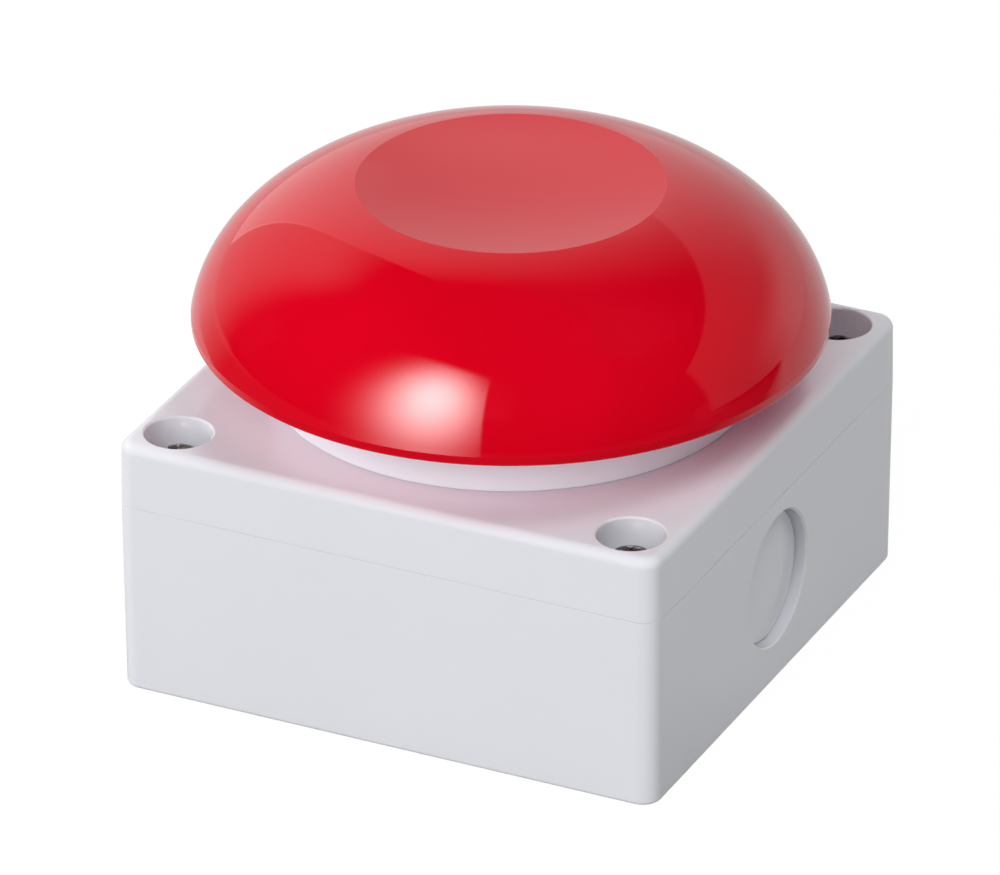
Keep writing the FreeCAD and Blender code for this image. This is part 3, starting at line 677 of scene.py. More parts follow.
@dataclass
class Box:
    """The box and its lid, with the places and sizes that both share."""

    seam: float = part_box("enclosure_lid")[0].z
    lid_top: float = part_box("enclosure_lid")[1].z
    half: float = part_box("enclosure_base")[1].x
    corner_radius: float = 3.0 * MM
    inner_corner: float = 0.3 * MM
    wall: float = 2.8 * MM
    base_taper: float = 0.25 * MM
    lid_taper: float = 0.1 * MM
    floor: float = 3.0 * MM
    foot_width: float = 5.0 * MM
    foot_recess: float = 0.6 * MM
    lid_plate: float = 3.0 * MM
    lid_edge: float = 1.6 * MM
    base_edge: float = 0.6 * MM
    seam_bevel: float = 0.15 * MM
    groove_width: float = 1.4 * MM
    groove_depth: float = 2.2 * MM
    tongue_height: float = 1.0 * MM
    tongue_clearance: float = 0.2 * MM
    screw_inset: float = 7.05 * MM
    well_radius: float = 5.05 * MM
    well_depth: float = 5.3 * MM
    well_rim: float = 0.35 * MM
    well_wall: float = 1.6 * MM
    pillar_radius: float = 5.6 * MM
    pillar_gap: float = 0.2 * MM
    screw_hole: float = 2.0 * MM
    pilot_hole: float = 1.8 * MM
    pilot_bottom: float = 13.3 * MM
    knockout_radius: float = 10.4 * MM
    knockout_height: float = 16.7 * MM
    knockout_depth: float = 1.8 * MM
    knockout_chamfer: float = 0.3 * MM
    knockout_groove_width: float = 0.5 * MM
    knockout_groove_depth: float = 0.5 * MM
    fixing_x: float = 30.0 * MM
    fixing_y: float = 23.0 * MM
    fixing_hole: float = 2.2 * MM
    fixing_boss: float = 4.6 * MM
    fixing_boss_height: float = 1.4 * MM
    post_place: float = 24.0 * MM
    post_radius: float = 4.0 * MM
    post_height: float = 2.5 * MM
    post_hole: float = 1.55 * MM
    post_hole_depth: float = 4.25 * MM
    guide_opening: float = 13.71 * MM
    collar_screw_circle: float = 27.0 * MM
    collar_screw_count: int = 4
    collar_screw_angle: float = 45.0
    collar_screw_hole: float = 2.0 * MM

    @property
    def screw_places(self) -> list[Place]:
        """Places of the four lid screws."""
        return corners_of(self.half - self.screw_inset, self.half - self.screw_inset)

    @property
    def fixing_places(self) -> list[Place]:
        """Places of the four fixing holes."""
        return corners_of(self.fixing_x, self.fixing_y)

    @property
    def collar_screw_places(self) -> list[Place]:
        """Places of the screws that hold the collar."""
        return on_circle(self.collar_screw_circle, self.collar_screw_count, self.collar_screw_angle)

    @property
    def post_top(self) -> float:
        """Height of the two posts' tops."""
        return self.floor + self.post_height

    def ring(self, outer_half: float, width: float, low: float, high: float) -> BMesh:
        """Make a square ring with round corners.

        Args:
            outer_half: half its outer width.
            width: how wide its band is.
            low: height of its bottom.
            high: height of its top.

        Returns:
            The ring's mesh.
        """
        inner_half = outer_half - width
        outer = square_block(outer_half, outer_half, self.corner_radius, low, high)
        inner = square_block(inner_half, inner_half, self.corner_radius - width, low - OVER, high + OVER)
        return combined(outer, [inner], Operation.CUT)

    def base_skin(self) -> BMesh:
        """Make the base's outer form: leaning sides, rounded bottom edges and a fine bevel at the seam.

        Returns:
            The form's mesh.
        """
        bm = square_block(self.half - self.base_taper, self.half, self.corner_radius, 0.0, self.seam)
        round_over(bm, flat_edges(bm, 0.0), self.base_edge, segments=5)
        round_over(bm, flat_edges(bm, self.seam), self.seam_bevel, segments=2)
        return bm

    def corner_fillings(self, low: float, high: float) -> list[BMesh]:
        """Make the blocks that join the screw pillars to the box's corners.

        Args:
            low: height of their bottoms.
            high: height of their tops.

        Returns:
            The blocks' meshes.
        """
        reach = self.half - self.wall / 2
        blocks = []
        for x, y in self.screw_places:
            far_x, far_y = math.copysign(reach, x), math.copysign(reach, y)
            blocks.append(slab(Vector((min(x, far_x), min(y, far_y), low)),
                               Vector((max(x, far_x), max(y, far_y), high))))
        return blocks

    def bosses(self, low: float) -> list[BMesh]:
        """Make the bosses round the fixing holes and the two posts of the contact carrier.

        Args:
            low: height of their lower ends, inside the floor.

        Returns:
            Their meshes.
        """
        boss_top = self.floor + self.fixing_boss_height
        bosses = [drum(self.fixing_boss, low, boss_top, place) for place in self.fixing_places]
        for side in (-1, 1):
            bosses.append(drum(self.post_radius, low, self.post_top, (0.0, side * self.post_place)))
        return bosses

    def tongue(self) -> BMesh:
        """Make the tongue on the base's rim that presses the lid's seal.

        Returns:
            The tongue's mesh.
        """
        outer_half = self.half - (self.wall - self.groove_width) / 2 - self.tongue_clearance
        width = self.groove_width - 2 * self.tongue_clearance
        return self.ring(outer_half, width, self.seam - OVER, self.seam + self.tongue_height)

    def base_holes(self) -> list[BMesh]:
        """Make the tools for the base's screw holes, fixing holes and knock-outs.

        Returns:
            The tools' meshes.
        """
        holes = [drum(self.pilot_hole, self.pilot_bottom, self.lid_top, place) for place in self.screw_places]
        holes += [drum(self.fixing_hole, -OVER, self.seam, place) for place in self.fixing_places]
        for side in (-1, 1):
            place = (0.0, side * self.post_place)
            holes.append(drum(self.post_hole, self.post_top - self.post_hole_depth, self.seam, place))
            holes.append(self.knockout(side))
        return holes

    def build_base(self) -> Object:
        """Build the base with its pillars, posts, knock-outs and holes.

        Returns:
            The base.
        """
        base = new_object("base_moulding", self.base_skin())
        low_inner = self.half - self.base_taper - self.wall
        inner = self.half - self.wall
        cavity = square_block(low_inner, inner, self.inner_corner, self.floor, self.seam + OVER)
        work(base, cavity, Operation.CUT)
        low = self.floor - OVER
        top = self.seam - self.pillar_gap
        pillars = [drum(self.pillar_radius, low, top, place) for place in self.screw_places]
        work(base, gathered(pillars), Operation.ADD)
        work(base, gathered(self.corner_fillings(low, top)), Operation.ADD)
        work(base, gathered(self.bosses(low)), Operation.ADD)
        work(base, self.tongue(), Operation.ADD)
        recess_half = self.half - self.base_taper - self.foot_width
        recess = square_block(recess_half, recess_half, self.corner_radius, -OVER, self.foot_recess)
        work(base, recess, Operation.CUT)
        work(base, gathered(self.base_holes()), Operation.CUT)
        return base

    def knockout(self, side: int) -> BMesh:
        """Make the round tool that sinks one knock-out.

        Args:
            side: 1 for the +X side, -1 for the other.

        Returns:
            The tool's mesh.
        """
        face = self.half - self.base_taper * (1 - self.knockout_height / self.seam)
        disc = face - self.knockout_depth
        radius = self.knockout_radius
        groove_radius = radius - self.knockout_groove_width
        groove = disc - self.knockout_groove_depth
        flare = radius + self.knockout_chamfer + OVER
        bm = turned([
            (0.0, disc), (groove_radius, disc), (groove_radius, groove), (radius, groove),
            (radius, face - self.knockout_chamfer), (flare, face + OVER), (0.0, face + OVER),
        ])
        turn = Matrix.Rotation(math.radians(90) * side, 4, "Y")
        raised = Matrix.Translation((0, 0, self.knockout_height))
        bmesh.ops.transform(bm, matrix=raised @ turn, verts=bm.verts)
        return bm

    def lid_skin(self) -> BMesh:
        """Make the lid's outer form: rounded top edges and a fine bevel at the seam.

        Returns:
            The form's mesh.
        """
        bm = square_block(self.half, self.half - self.lid_taper, self.corner_radius, self.seam, self.lid_top)
        round_over(bm, flat_edges(bm, self.lid_top), self.lid_edge, segments=8)
        round_over(bm, flat_edges(bm, self.seam), self.seam_bevel, segments=2)
        return bm

    def well(self, place: Place) -> BMesh:
        """Make the tool that sinks one screw well and rounds its rim.

        Args:
            place: where the well's axis stands.

        Returns:
            The tool's mesh.
        """
        rim = self.well_rim
        bottom = self.lid_top - self.well_depth
        section = [(0.0, bottom), (self.well_radius, bottom)]
        section += arc_points((self.well_radius + rim, self.lid_top - rim), rim, 180, 90, steps=6)
        section += [(self.well_radius + rim, self.lid_top + OVER), (0.0, self.lid_top + OVER)]
        bm = turned(section)
        bmesh.ops.translate(bm, vec=(*place, 0.0), verts=bm.verts)
        return bm

    def build_lid(self) -> Object:
        """Build the lid with its wells, seal groove and openings.

        Returns:
            The lid.
        """
        lid = new_object("lid_moulding", self.lid_skin())
        inner = self.half - self.wall
        low = self.seam - OVER
        cavity = square_block(inner, inner, self.inner_corner, low, self.lid_top - self.lid_plate)
        work(lid, cavity, Operation.CUT)
        column_radius = self.well_radius + self.well_wall
        column_top = self.lid_top - self.lid_plate / 2
        columns = [drum(column_radius, self.seam, column_top, place) for place in self.screw_places]
        work(lid, combined(gathered(columns), [self.lid_skin()], Operation.KEEP), Operation.ADD)
        work(lid, gathered([self.well(place) for place in self.screw_places]), Operation.CUT)
        holes = [drum(self.screw_hole, low, self.lid_top, place) for place in self.screw_places]
        holes.append(drum(self.guide_opening, low, self.lid_top + OVER))
        for place in self.collar_screw_places:
            holes.append(drum(self.collar_screw_hole, low, self.lid_top + OVER, place))
        work(lid, gathered(holes), Operation.CUT)
        groove_half = self.half - (self.wall - self.groove_width) / 2
        groove = self.ring(groove_half, self.groove_width, low, self.seam + self.groove_depth)
        work(lid, groove, Operation.CUT)
        return lid

    def build(self, wardrobe: Wardrobe) -> None:
        """Build and dress the base and the lid.

        Args:
            wardrobe: the finishes.
        """
        for piece, node in ((self.build_base(), "enclosure_base"), (self.build_lid(), "enclosure_lid")):
            finish_piece(piece, "case", (node,))
            wardrobe.dress(piece, Finish.BOX)


@dataclass
class LidScrews:
    """The four lid screws with domed heads and cross recesses."""

    radius: float = 1.75 * MM
    length: float = 21.0 * MM
    head_radius: float = 2.9 * MM
    head_height: float = 2.4 * MM
    crown: float = 0.4 * MM
    crown_shares: tuple[float, ...] = (0.8, 0.6, 0.4, 0.2)
    rim: float = 0.3 * MM
    tip_share: float = 0.5
    recess_width: float = 1.0 * MM
    recess_reach: float = 2.0 * MM
    recess_depth: float = 1.5 * MM
    recess_bottom_reach: float = 0.55
    recess_bottom_width: float = 0.7
    recess_turns: tuple[float, ...] = (12, 58, 33, 75)
    turn_steps: int = 48

    def arm(self, angle: float) -> BMesh:
        """Make the tool for one bar of the cross recess, narrower and shorter at its bottom.

        Args:
            angle: how far the bar is turned from X, in degrees.

        Returns:
            The tool's mesh.
        """
        top = self.head_height
        half = self.recess_width / 2
        bar = slab(Vector((-self.recess_reach, -half, top - self.recess_depth)),
                   Vector((self.recess_reach, half, top + OVER)))
        for vert in bar.verts:
            if vert.co.z < top:
                vert.co.x *= self.recess_bottom_reach
                vert.co.y *= self.recess_bottom_width
        spun = Matrix.Rotation(math.radians(angle), 3, "Z")
        bmesh.ops.rotate(bar, cent=(0, 0, 0), matrix=spun, verts=bar.verts)
        return bar

    def screw(self, place: Place, seat: float, turn: float) -> BMesh:
        """Make one screw.

        Args:
            place: where its axis stands.
            seat: height of its head's underside.
            turn: how far its recess is turned, in degrees.

        Returns:
            The screw's mesh.
        """
        top = self.head_height
        side = top - self.crown - self.rim
        section = [(0.0, -self.length), (self.radius * self.tip_share, -self.length)]
        section += [(self.radius, -self.length + self.radius), (self.radius, 0.0), (self.head_radius, 0.0)]
        section += arc_points((self.head_radius - self.rim, side), self.rim, 0, 70, steps=4)
        section += [(self.head_radius * share, top - self.crown * share ** 2) for share in self.crown_shares]
        section.append((0.0, top))
        arms = [self.arm(turn), self.arm(turn + 90)]
        bm = combined(turned(section, self.turn_steps), arms, Operation.CUT)
        bmesh.ops.translate(bm, vec=(*place, seat), verts=bm.verts)
        return bm

    def build(self, box: Box, wardrobe: Wardrobe) -> None:
        """Build and dress the screws in the box's wells.

        Args:
            box: the box that they hold.
            wardrobe: the finishes.
        """
        seat = box.lid_top - box.well_depth
        screws = [self.screw(place, seat, turn) for place, turn in zip(box.screw_places, self.recess_turns)]
        piece = new_object("lid_screw_set", gathered(screws))
        finish_piece(piece, "case", ("lid_screws",))
        wardrobe.dress(piece, Finish.LID_SCREW)


@dataclass
class Collar:
    """The collar on the lid, with its guide tube, spring cup, ribs and bosses."""

    foot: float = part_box("enclosure_lid")[1].z
    radius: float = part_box("collar")[1].x
    top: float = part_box("collar")[1].z
    bottom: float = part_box("collar")[0].z
    taper: float = 0.3 * MM
    wall: float = 2.4 * MM
    plate: float = 2.8 * MM
    foot_round: float = 0.4 * MM
    guide_bore: float = 10.51 * MM
    guide_radius: float = 13.41 * MM
    guide_rise: float = 8.6 * MM
    cup_inner: float = 16.11 * MM
    cup_wall: float = 1.6 * MM
    cup_height: float = 3.0 * MM
    rib_count: int = 8
    rib_thickness: float = 1.8 * MM
    rib_height: float = 5.0 * MM
    boss_radius: float = 3.65 * MM
    boss_height: float = 6.7 * MM
    boss_hole: float = 1.8 * MM
    boss_hole_height: float = 4.8 * MM
    gasket_inner: float = 30.0 * MM
    gasket_width: float = 3.0 * MM
    gasket_height: float = 1.0 * MM
    turn_steps: int = 160

    def section(self) -> list[Place]:
        """Give the section that the whole turned form shares.

        Returns:
            The section's (radius, height) points.
        """
        foot = self.foot
        floor = foot + self.plate
        rim = self.radius - self.taper
        edge = self.foot_round
        guide_top = foot + self.guide_rise
        cup_outer = self.cup_inner + self.cup_wall
        points = [(self.guide_bore, self.bottom), (self.guide_radius, self.bottom), (self.guide_radius, foot)]
        points += [(self.gasket_inner, foot), (self.gasket_inner, foot + self.gasket_height)]
        gasket_outer = self.gasket_inner + self.gasket_width
        points += [(gasket_outer, foot + self.gasket_height), (gasket_outer, foot)]
        points += arc_points((self.radius - edge, foot + edge), edge, -90, 0, steps=4)
        points += arc_points((rim - edge, self.top - edge), edge, 0, 90, steps=4)
        points += [(rim - self.wall, self.top), (self.radius - self.wall, floor), (cup_outer, floor)]
        points += [(cup_outer, floor + self.cup_height), (self.cup_inner, floor + self.cup_height)]
        points += [(self.cup_inner, floor), (self.guide_radius, floor), (self.guide_radius, guide_top)]
        points.append((self.guide_bore, guide_top))
        return points

    def build(self, box: Box, wardrobe: Wardrobe) -> None:
        """Build and dress the collar.

        Args:
            box: the box that it is screwed to.
            wardrobe: the finishes.
        """
        collar = new_object("collar_moulding", turned(self.section(), self.turn_steps))
        floor = self.foot + self.plate
        low = floor - self.plate / 2
        places = box.collar_screw_places
        bosses = [drum(self.boss_radius, low, floor + self.boss_height, place) for place in places]
        work(collar, gathered(bosses), Operation.ADD)
        half = self.rib_thickness / 2
        start = Vector((self.cup_inner + self.cup_wall / 2, -half, low))
        end = Vector((self.radius - self.taper - self.wall / 2, half, floor + self.rib_height))
        work(collar, gathered(spokes(start, end, self.rib_count, first_share=0.5)), Operation.ADD)
        hole_top = floor + self.boss_hole_height
        holes = [drum(self.boss_hole, self.foot - OVER, hole_top, place) for place in places]
        work(collar, gathered(holes), Operation.CUT)
        finish_piece(collar, "case", ("collar",))
        wardrobe.dress(collar, Finish.COLLAR)


@dataclass
class Cap:
    """The red dome: a dished top, a smooth curve down to a short upright lip, a hub and ribs."""

    radius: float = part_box("mushroom_cap")[1].x
    lip_bottom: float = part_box("mushroom_cap")[0].z
    dish_edge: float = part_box("mushroom_cap")[1].z
    lip_height: float = 1.45 * MM
    lip_round: float = 0.4 * MM
    dish_radius: float = 22.8 * MM
    dish_depth: float = 1.5 * MM
    start_angle: float = 10.9
    end_angle: float = 79.3
    start_handle: float = 0.316
    end_handle: float = 0.372
    wall: float = 2.6 * MM
    overlap: float = 0.5 * MM
    hub_radius: float = 10.95 * MM
    hub_bore: float = 8.05 * MM
    hub_bottom: float = 55.7 * MM
    socket_top: float = 61.7 * MM
    pilot_radius: float = 2.05 * MM
    pilot_top: float = 68.0 * MM
    rib_count: int = 8
    rib_thickness: float = 1.8 * MM
    rib_bottom: float = 57.5 * MM
    spring_socket_inner: float = 16.11 * MM
    spring_socket_wall: float = 1.6 * MM
    spring_socket_depth: float = 2.0 * MM
    curve_steps: int = 40
    dish_steps: int = 12
    turn_steps: int = 192

    @property
    def lip_top(self) -> float:
        """Height where the dome's curve meets its lip."""
        return self.lip_bottom + self.lip_height

    def dome(self, start: Place, end: Place) -> list[Place]:
        """Give points down the dome, flat at first and steep at the end.

        Args:
            start: the edge of the dish.
            end: the top of the lip.

        Returns:
            The points, both ends included.
        """
        chord = math.dist(start, end)
        first = math.radians(self.start_angle)
        last = math.radians(self.end_angle)
        leave = (start[0] + chord * self.start_handle * math.cos(first),
                 start[1] - chord * self.start_handle * math.sin(first))
        arrive = (end[0] - chord * self.end_handle * math.cos(last),
                  end[1] + chord * self.end_handle * math.sin(last))
        poles = (start, leave, arrive, end)
        points = []
        for index in range(self.curve_steps + 1):
            t = index / self.curve_steps
            shares = ((1 - t) ** 3, 3 * t * (1 - t) ** 2, 3 * t * t * (1 - t), t ** 3)
            pulls = list(zip(shares, poles))
            points.append((sum(share * pole[0] for share, pole in pulls),
                           sum(share * pole[1] for share, pole in pulls)))
        return points

    def dish(self, edge: Place) -> list[Place]:
        """Give points across the dish, from its centre to just inside its edge."""
        shares = [index / self.dish_steps for index in range(self.dish_steps)]
        return [(edge[0] * share, edge[1] - self.dish_depth * (1 - share ** 2)) for share in shares]

    def core(self) -> list[Place]:
        """Give the section of the space inside the shell, down to the top of the lip.

        Returns:
            The section's points, from the centre outwards.
        """
        first = math.radians(self.start_angle)
        edge = (self.dish_radius - self.wall * math.sin(first), self.dish_edge - self.wall * math.cos(first))
        return self.dish(edge) + self.dome(edge, (self.radius - self.wall, self.lip_top))

    def shell(self) -> BMesh:
        """Make the dished dome and its lip.

        Returns:
            The shell's mesh.
        """
        edge = (self.dish_radius, self.dish_edge)
        rim = self.lip_round
        inner = self.radius - self.wall
        section = self.dish(edge) + self.dome(edge, (self.radius, self.lip_top))
        section += arc_points((self.radius - rim, self.lip_bottom + rim), rim, 0, -90, steps=5)
        section += arc_points((inner + rim, self.lip_bottom + rim), rim, -90, -180, steps=5)
        section += list(reversed(self.core()))
        return turned(section, self.turn_steps)

    def inner_ribs(self) -> BMesh:
        """Make the hub, the ribs and the spring's socket, trimmed to the space under the shell.

        Returns:
            Their mesh, which reaches a little way into the shell.
        """
        hub = drum(self.hub_radius, self.hub_bottom, self.dish_edge)
        half = self.rib_thickness / 2
        start = Vector((self.hub_radius - OVER, -half, self.rib_bottom))
        ribs = spokes(start, Vector((self.radius, half, self.dish_edge)), self.rib_count)
        socket_outer = self.spring_socket_inner + self.spring_socket_wall
        low = self.rib_bottom - self.spring_socket_depth
        socket = turned([(self.spring_socket_inner, low), (socket_outer, low),
                         (socket_outer, self.dish_edge), (self.spring_socket_inner, self.dish_edge)])
        trim = [(radius, height + self.overlap) for radius, height in self.core()]
        space = turned(trim + [(0.0, self.lip_top)])
        return combined(combined(hub, [*ribs, socket], Operation.ADD), [space], Operation.KEEP)

    def build(self, wardrobe: Wardrobe) -> None:
        """Build and dress the cap.

        Args:
            wardrobe: the finishes.
        """
        cap = new_object("dome", self.shell())
        work(cap, self.inner_ribs(), Operation.ADD)
        bore = drum(self.hub_bore, self.hub_bottom - OVER, self.socket_top)
        pilot = drum(self.pilot_radius, self.socket_top - OVER, self.pilot_top)
        work(cap, combined(bore, [pilot], Operation.ADD), Operation.CUT)
        finish_piece(cap, "cap_group", ("mushroom_cap",), sharp_angle=10.0)
        wardrobe.dress(cap, Finish.CAP)


@dataclass(frozen=True)
class CoilSpring:
    """A coil spring that keeps its CAD form on its body."""

    node: str
    body: str
    joint: str
    travel: float
    held_at_top: bool = False

    def build(self, wardrobe: Wardrobe) -> None:
        """Build the spring in its CAD form.

        Args:
            wardrobe: the finishes.
        """
        coil = bpy.data.objects.new(f"{self.node}_coil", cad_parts[self.node].data.copy())
        bpy.context.scene.collection.objects.link(coil)
        finish_piece(coil, self.body, (self.node,))
        wardrobe.dress(coil, Finish.SPRING)
        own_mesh(coil)


@dataclass
class Springs:
    """The spring that lifts the dome and the springs of the two contact blocks."""

    press: float = 5.0 * MM
    bridge_lift: float = 2.5 * MM

    def build(self, wardrobe: Wardrobe) -> None:
        """Build the four springs.

        Args:
            wardrobe: the finishes.
        """
        for spring in (
            CoilSpring("return_spring", "case", "cap_press", self.press),
            CoilSpring("no_lift_spring", "case", "no_slider_press", self.press),
            CoilSpring("nc_spring", "case", "nc_slider_press", self.press),
            CoilSpring("no_spring", "no_slider", "no_bridge_lift", self.bridge_lift, held_at_top=True),
        ):
            spring.build(wardrobe)


@dataclass
class InnerWorks:
    """The pieces inside, which keep their CAD form and get their finishes."""

    finishes: dict[str, Finish] = field(default_factory=lambda: {
        "lid_gasket": Finish.RUBBER, "collar_gasket": Finish.RUBBER, "stem_seal": Finish.RUBBER,
        "guide_bush": Finish.GUIDE, "seal_cap": Finish.GUIDE, "plunger": Finish.PLUNGER,
        "contact_carrier": Finish.BLOCK, "housing": Finish.BLOCK, "cover": Finish.COVER,
        "bridge": Finish.CONTACT, "terminals": Finish.CONTACT, "clamps": Finish.SCREW, "screws": Finish.SCREW,
        "no_slider": Finish.SLIDER_GREEN, "nc_slider": Finish.SLIDER_RED,
        "collar_screws": Finish.SCREW, "carrier_screws": Finish.SCREW, "cap_screw": Finish.SCREW,
    })

    def build(self, wardrobe: Wardrobe) -> None:
        """Dress every CAD node that still shows.

        Args:
            wardrobe: the finishes.
        """
        for name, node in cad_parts.items():
            if node.hide_render:
                continue
            # Both contact blocks share most finishes, which are listed without the block's prefix.
            short = name.split("_", 1)[-1]
            finish = self.finishes.get(name) or self.finishes[short]
            wardrobe.dress(node, finish)
            LOG.info("%s dressed in %s", name, finish.name)


def outwards(azimuth: float, elevation: float = 0.0) -> Vector:
    """Give the direction from the button that two angles name.

    Args:
        azimuth: angle from the front towards +X, in degrees.
        elevation: angle above the floor, in degrees.

    Returns:
        The direction, of length one.
    """
    turn, rise = math.radians(azimuth), math.radians(elevation)
    return Vector((math.sin(turn) * math.cos(rise), -math.cos(turn) * math.cos(rise), math.sin(rise)))


def hang_light(name: str, data: AreaLight, place: Vector, outward: Vector) -> Object:
    """Hang a light so that it faces the button and the camera doesn't see it.

    Args:
        name: the light's name.
        data: its size and strength.
        place: where its middle hangs.
        outward: the direction in which its back points.

    Returns:
        The light.
    """
    light = bpy.data.objects.new(name, data)
    light.location = place
    light.rotation_mode = "QUATERNION"
    light.rotation_quaternion = outward.to_track_quat("Z", "Y")
    light.visible_camera = False
    bpy.context.scene.collection.objects.link(light)
    return light


@dataclass(frozen=True)
class SoftLamp:
    """A square lamp that lights matte surfaces from one direction and isn't seen in glossy ones."""

    name: str
    azimuth: float
    elevation: float
    size: float
    radiance: float
    distance: float = 1.3

    def build(self) -> None:
        """Build the lamp, facing the button."""
        data = bpy.data.lights.new(self.name, "AREA")
        data.size = self.size
        data.energy = self.radiance * math.pi * self.size * self.size
        outward = outwards(self.azimuth, self.elevation)
        lamp = hang_light(self.name, data, outward * self.distance, outward)
        lamp.visible_glossy = False


@dataclass(frozen=True)
class Glow:
    """The bright middle of a panel, which fades outwards like a lamp behind its cloth."""

    azimuth: float
    height: float
    width: float
    tall: float


@dataclass(frozen=True)
class Panel:
    """A bright panel that stands upright around the button and is seen in its glossy surfaces.

    The fades are the shares of its width or height over which it darkens to each edge.
    """

    name: str
    first_azimuth: float
    last_azimuth: float
    low: float
    high: float
    distance: float
    radiance: float
    first_fade: float = 0.0
    last_fade: float = 0.0
    top_fade: float = 0.0
    glow: Glow | None = None

    @property
    def middle(self) -> float:
        """Its middle's azimuth in degrees."""
        return (self.first_azimuth + self.last_azimuth) / 2

    def build(self) -> None:
        """Build the panel, facing the button."""
        half = math.radians((self.last_azimuth - self.first_azimuth) / 2)
        data = bpy.data.lights.new(self.name, "AREA")
        data.shape = "RECTANGLE"
        data.size = 2 * self.distance * math.tan(half)
        data.size_y = self.high - self.low
        data.energy = self.radiance * math.pi * data.size * data.size_y
        outward = outwards(self.middle)
        place = outward * self.distance + Vector((0.0, 0.0, (self.low + self.high) / 2))
        light = hang_light(self.name, data, place, outward)
        light.visible_diffuse = False
        self.add_fades(data)

    def add_fades(self, data: AreaLight) -> None:
        """Darken the panel towards its soft edges and around its glow.

        Args:
            data: the panel's light.
        """
        nodes = Nodes(data)
        emission = next(node for node in nodes.tree.nodes if node.type == "EMISSION")
        split = nodes.add("ShaderNodeSeparateXYZ")
        nodes.link(nodes.add("ShaderNodeNewGeometry").outputs["Parametric"], split.inputs[0])
        across, up = split.outputs["X"], split.outputs["Y"]
        edges = ((across, 0.0, self.first_fade), (across, 1.0, -self.last_fade), (up, 1.0, -self.top_fade))
        shares = [nodes.ramp(way, edge, edge + fade) for way, edge, fade in edges if fade]
        if self.glow is not None:
            shares.append(self.glow_share(nodes, across, up, data))
        strength: NodeSocket | float = 1.0
        for share in shares:
            strength = nodes.math("MULTIPLY", strength, share)
        if shares:
            nodes.link(strength, emission.inputs["Strength"])

    def glow_share(self, nodes: Nodes, across: NodeSocket, up: NodeSocket,
                   data: AreaLight) -> NodeSocket:
        """Let the panel fade from its bright middle outwards.

        Args:
            nodes: the light's nodes.
            across: the place across the panel, from 0 to 1.
            up: the place up the panel, from 0 to 1.
            data: the panel's light.

        Returns:
            The socket with the fading strength.
        """
        aside = self.distance * math.tan(math.radians(self.glow.azimuth - self.middle))
        places = ((across, data.size, data.size / 2 + aside, self.glow.width),
                  (up, data.size_y, self.glow.height - self.low, self.glow.tall))
        squares = []
        for place, length, centre, reach in places:
            away = nodes.math("MULTIPLY", nodes.math("SUBTRACT", place, centre / length), length / reach)
            squares.append(nodes.math("MULTIPLY", away, away))
        return nodes.math("EXPONENT", nodes.math("MULTIPLY", nodes.math("ADD", *squares), -0.5))


